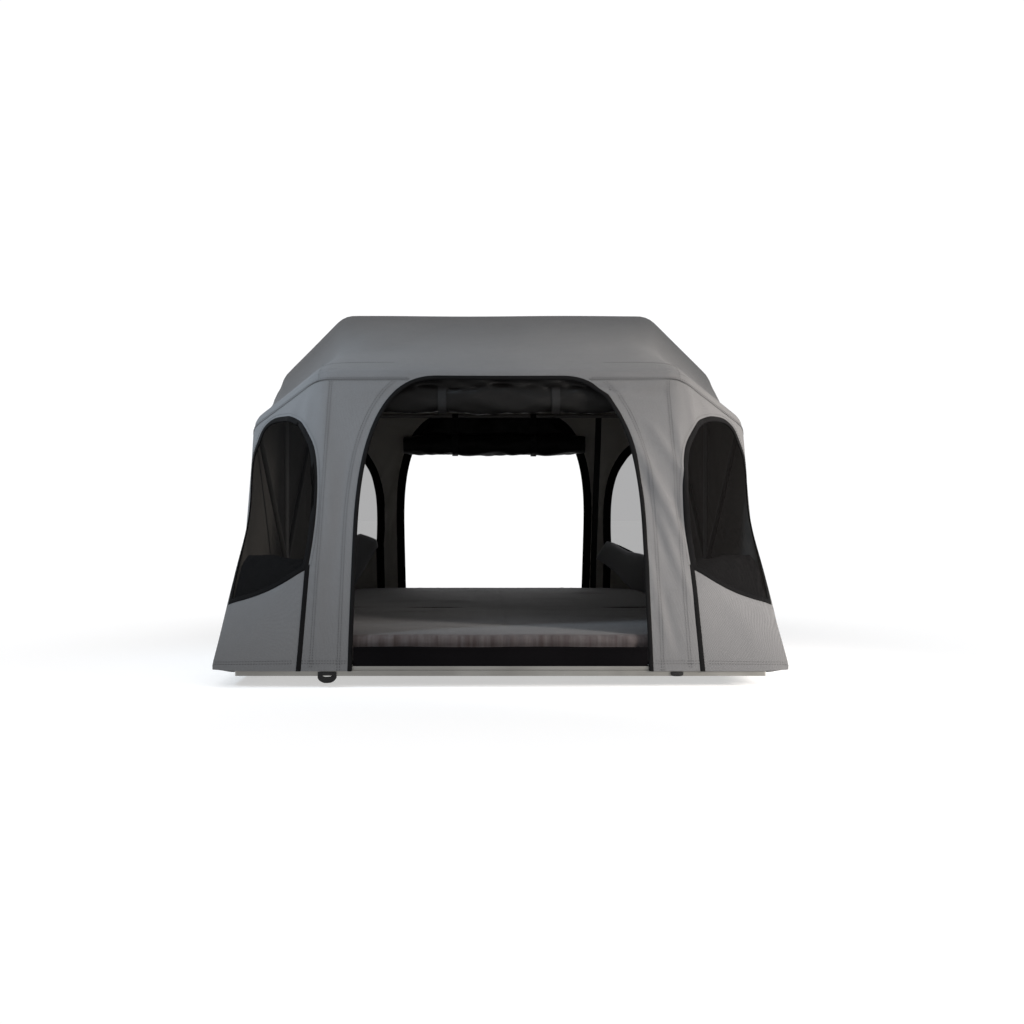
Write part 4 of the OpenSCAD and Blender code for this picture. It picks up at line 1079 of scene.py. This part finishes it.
def pad(sign):
    z0 = FLOOR_Z + 0.0003
    profile = spline(np.array(PAD_SECTION, float) / 1000, 4) * [1, PAD_H * 1000 / PAD_DRAWN_H, 1]
    ex, ey = rounded_square(np.linspace(0, 2 * math.pi, 361)[:-1], 7)
    r, rise, pull = (profile[:, k, None] for k in range(3))
    meets = smooth((-sign * ey - 0.55) / 0.4)
    in_x, in_y = np.minimum(r, PAD_W - 0.02), np.minimum(r, PAD_L - 0.02)
    in_y = np.where(r < 0.06, in_y * lerp(1, 0.25, meets), in_y)
    x = ex * (PAD_W - in_x) - np.sign(ex) * (1 - ey ** 2) * pull * np.abs(ex) ** 6
    y = ey * (PAD_L - in_y) - np.sign(ey) * (1 - ex ** 2) * pull * np.abs(ey) ** 6
    edge = smooth((rise - 0.012) / 0.025) * smooth((0.10 - r) / 0.09)
    along = np.where(np.abs(ey) > np.abs(ex), x, y)
    push = 0.0027 * edge * gather(along) * smooth((0.030 - np.abs(r - 0.004)) / 0.026)
    x, y = x + push * ex * np.abs(ex) ** 5, y + push * ey * np.abs(ey) ** 5
    z = z0 + rise + push * 0.6
    top = smooth((rise - 0.0595) / 0.004)
    for cx, cy, lx, ly, depth, slant in DENTS[sign]:
        dx, dy = x - cx, y - cy
        z = z - top * depth * bell((dx + slant * dy) / lx) * bell((dy - slant * dx) / ly)
    z = z + top * 0.0008 * np.sin(19 * x + 4 * np.sin(7 * y)) * np.sin(15 * y + 1)
    if sign < 0:
        z = z + FRONT_RISE * smooth((0.10 - y) / 0.6) * np.clip((z - z0) / 0.06, 0, 1)
        lip = LIP * (1 - 1.5 * bell((x + 0.21) / 0.10) - 1.3 * bell((x - 0.45) / 0.06))
        z = z + lip * meets * smooth((rise - 0.05) / 0.008) * smooth((0.12 - r) / 0.1)
    p = coords(x, y + sign * PAD_MID, z)
    n, m = p.shape[:2]
    points = np.concatenate([p.reshape(-1, 3), p[0].mean(0)[None], p[-1].mean(0)[None]])
    faces = grid_faces(n, m, False, True).tolist()
    faces += [[n * m, (j + 1) % m, j] for j in range(m)]
    faces += [[n * m + 1, (n - 1) * m + j, (n - 1) * m + (j + 1) % m] for j in range(m)]
    ids = np.concatenate([np.repeat(profile[:-1, 0] < BORDER_W, m), np.zeros(2 * m, bool)]).astype(int)
    return points, [f[::-1] for f in faces], [BED, BORDER_PAINTED_PUCKERS], ids


# Door sills: an upright band of trim with a rolled edge, as distance out and height, drawn 38 mm high
SILL_H, SILL_DRAWN, SILL_IN = 0.051, 38, 0.008
SILL_SECTION = [(-1.5, 0.15), (1.5, 0.2), (1.6, 12), (1.5, 24), (1.7, 32), (3.0, 34.2), (2.6, 36.6), (0, 38),
                (-2.6, 36.6), (-3.0, 34.2), (-1.7, 32), (-1.5, 24), (-1.6, 12)]


def sill(sign):
    x = np.linspace(-(DOOR_W - 0.004), DOOR_W - 0.004, 120)
    rings = []
    for out, high in SILL_SECTION:
        up = high / SILL_DRAWN
        wave = up * (0.0022 * np.sin(13 * x + sign) + 0.0010 * np.sin(47 * x))
        rings.append(coords(x, sign * (HALF_L - SILL_IN) + out / 1000 + wave,
                            FLOOR_Z + up * (SILL_H + 0.0008 * np.sin(17 * x))))
    return np.stack(rings, 1)


for end, b in ENDS.items():
    piece = make(f"{end}_mattress_pad", *pad(b.end), angle=70)
    settle(piece, "mattress", f"{end}_mattress", body=f"{end}_base")
for end, b in ENDS.items():
    piece = make(f"{end}_sill_band", *tube_part(sill(b.end)), SILL)
    settle(piece, "black_trim", f"{end}_door_sill", body=f"{end}_base")


# Webbing under the front rail, a loop on the left and a tab on the right: x, half width, drop, half width of
# the tab and half thickness of the loop
LOOPS = {"left": (-0.457, 0.0185, 0.0125, 0.0245, 0.0076), "right": (0.465, 0.0130, 0.0010, 0.0165, 0.0012)}
LOOP_TOP, LOOP_ON_RAIL, TAB_LOW, TAB_HIGH = 0.032, 0.006, 0.0325, 0.0415
LOOP_RUN = np.array([(-1.02, 0), (-0.93, 0.55), (-0.45, 0.96), (0.1, 1), (0.62, 0.86), (0.97, 0.4), (1.0, 0)])


def loop_band(x0, half, drop, thick):
    """Webbing loop: two ends lie on the rail's face and the slack hangs below it."""
    hung = LOOP_RUN * [half, -drop] + [0, LOOP_TOP]
    line = spline(np.concatenate([[(-half, LOOP_TOP + LOOP_ON_RAIL)], hung,
                                  [(half * 0.96, LOOP_TOP + LOOP_ON_RAIL)]]), 8)
    d = unit(np.gradient(line, axis=0))
    n = coords(d[:, 1], -d[:, 0])
    slack = np.sin(np.pi * np.linspace(0, 1, len(line)))
    lean = thick * (0.6 + 0.4 * slack)
    rings = []
    for k, h in ((0, -1), (1, -1), (1, 1), (0, 1)):
        q = line + n * (lean * h)[:, None]
        y = -HALF_L - 0.0044 + 0.004 * k + 0.010 * k * slack ** 2
        y = np.where(q[:, 1] > 0.0295, np.minimum(y, -HALF_L - 0.0003), y)
        rings.append(coords(x0 + q[:, 0], y, q[:, 1]))
    return np.stack(rings, 1)


def loop_tab(x0, half):
    """Flat tab of webbing on the rail's face, with rounded corners."""
    ex, ez = rounded_square(np.linspace(0, 2 * math.pi, 41)[:-1], 8)
    mid, tall = (TAB_LOW + TAB_HIGH) / 2, (TAB_HIGH - TAB_LOW) / 2
    return np.stack([coords(x0 + k * half * ex, -HALF_L - out, mid + k * tall * ez)
                     for k, out in ((0.94, 0.0046), (1.0, 0.0040), (1.0, 0.0009), (0.97, 0.0004))])


for side, (x0, half, drop, tab, thick) in LOOPS.items():
    parts = [tube_part(loop_band(x0, half, drop, thick)), tube_part(loop_tab(x0, tab))]
    piece = joined(f"{side}_anchor_webbing", parts, WEBBING)
    settle(piece, "webbing", f"anchor_loop_{side}", body="front_base")


# Floor, light and camera
FLOOR_HALF, FLOOR_GLOW, SKY_GLOW = 40, 0.452, 1.03


def stage_material():
    m, tree, bsdf = material("studio_floor", 0.9, specular=0.1)
    colour = ramp(tree, noise(tree, 0.7, 3), [(0.2, (0.55, 0.55, 0.55)), (0.8, (0.58, 0.58, 0.58))])
    finish_surface(tree, bsdf, colour, noise(tree, 60, 2), 0.0002)
    put(bsdf, {"Emission Color": (1, 1, 1, 1), "Emission Strength": FLOOR_GLOW})
    return m


corners = [(x * FLOOR_HALF, y * FLOOR_HALF, 0) for x, y in ((-1, -1), (1, -1), (1, 1), (-1, 1))]
floor = make("floor", corners, [[0, 1, 2, 3]], stage_material())

world = bpy.data.worlds.new("studio")
bpy.context.scene.world = world
world.use_nodes = True
put(world.node_tree.nodes["Background"], {"Color": (0.998, 1.0, 1.008, 1), "Strength": SKY_GLOW})


def area_light(name, at, to, size, watts, colour, spread):
    data = bpy.data.lights.new(name, "AREA")
    data.shape, data.size, data.energy, data.color = "SQUARE", size, watts, colour
    data.spread = math.radians(spread)
    obj = bpy.data.objects.new(name, data)
    bpy.context.scene.collection.objects.link(obj)
    obj.location = at
    obj.rotation_euler = (Vector(to) - Vector(at)).to_track_quat("-Z", "Y").to_euler()


area_light("key", (2.3, -2.4, 0.85), (0.84, -1.05, 0.34), 0.6, 10.6, (1.0, 0.935, 0.88), 40)
area_light("sky", (-3.2, -2.0, 2.6), (-0.72, -0.86, 0.80), 1.0, 6.4, (0.70, 0.85, 1.0), 22)
area_light("warm", (2.9, -1.1, 2.3), (0.73, -0.62, 0.90), 0.8, 3.8, (1.0, 0.93, 0.86), 18)

# Camera as in the photo: its width, focal length and vanishing point, in pixels, and its place
PHOTO, FOCAL, SENSOR = 1024, 1301, 36.0
VANISH_X, VANISH_Y = 484, 507
lens = bpy.data.cameras.new("camera")
lens.sensor_width, lens.lens = SENSOR, SENSOR * FOCAL / PHOTO
lens.shift_x, lens.shift_y = (PHOTO / 2 - VANISH_X) / PHOTO, -(PHOTO / 2 - VANISH_Y) / PHOTO
lens.clip_start, lens.clip_end = 0.1, 200
camera = bpy.data.objects.new("camera", lens)
camera.location, camera.rotation_euler = (-0.0435, -4.63, 0.4755), (math.pi / 2, 0, 0)
bpy.context.scene.collection.objects.link(camera)
bpy.context.scene.camera = camera
bpy.context.scene.view_settings.view_transform = "Standard"
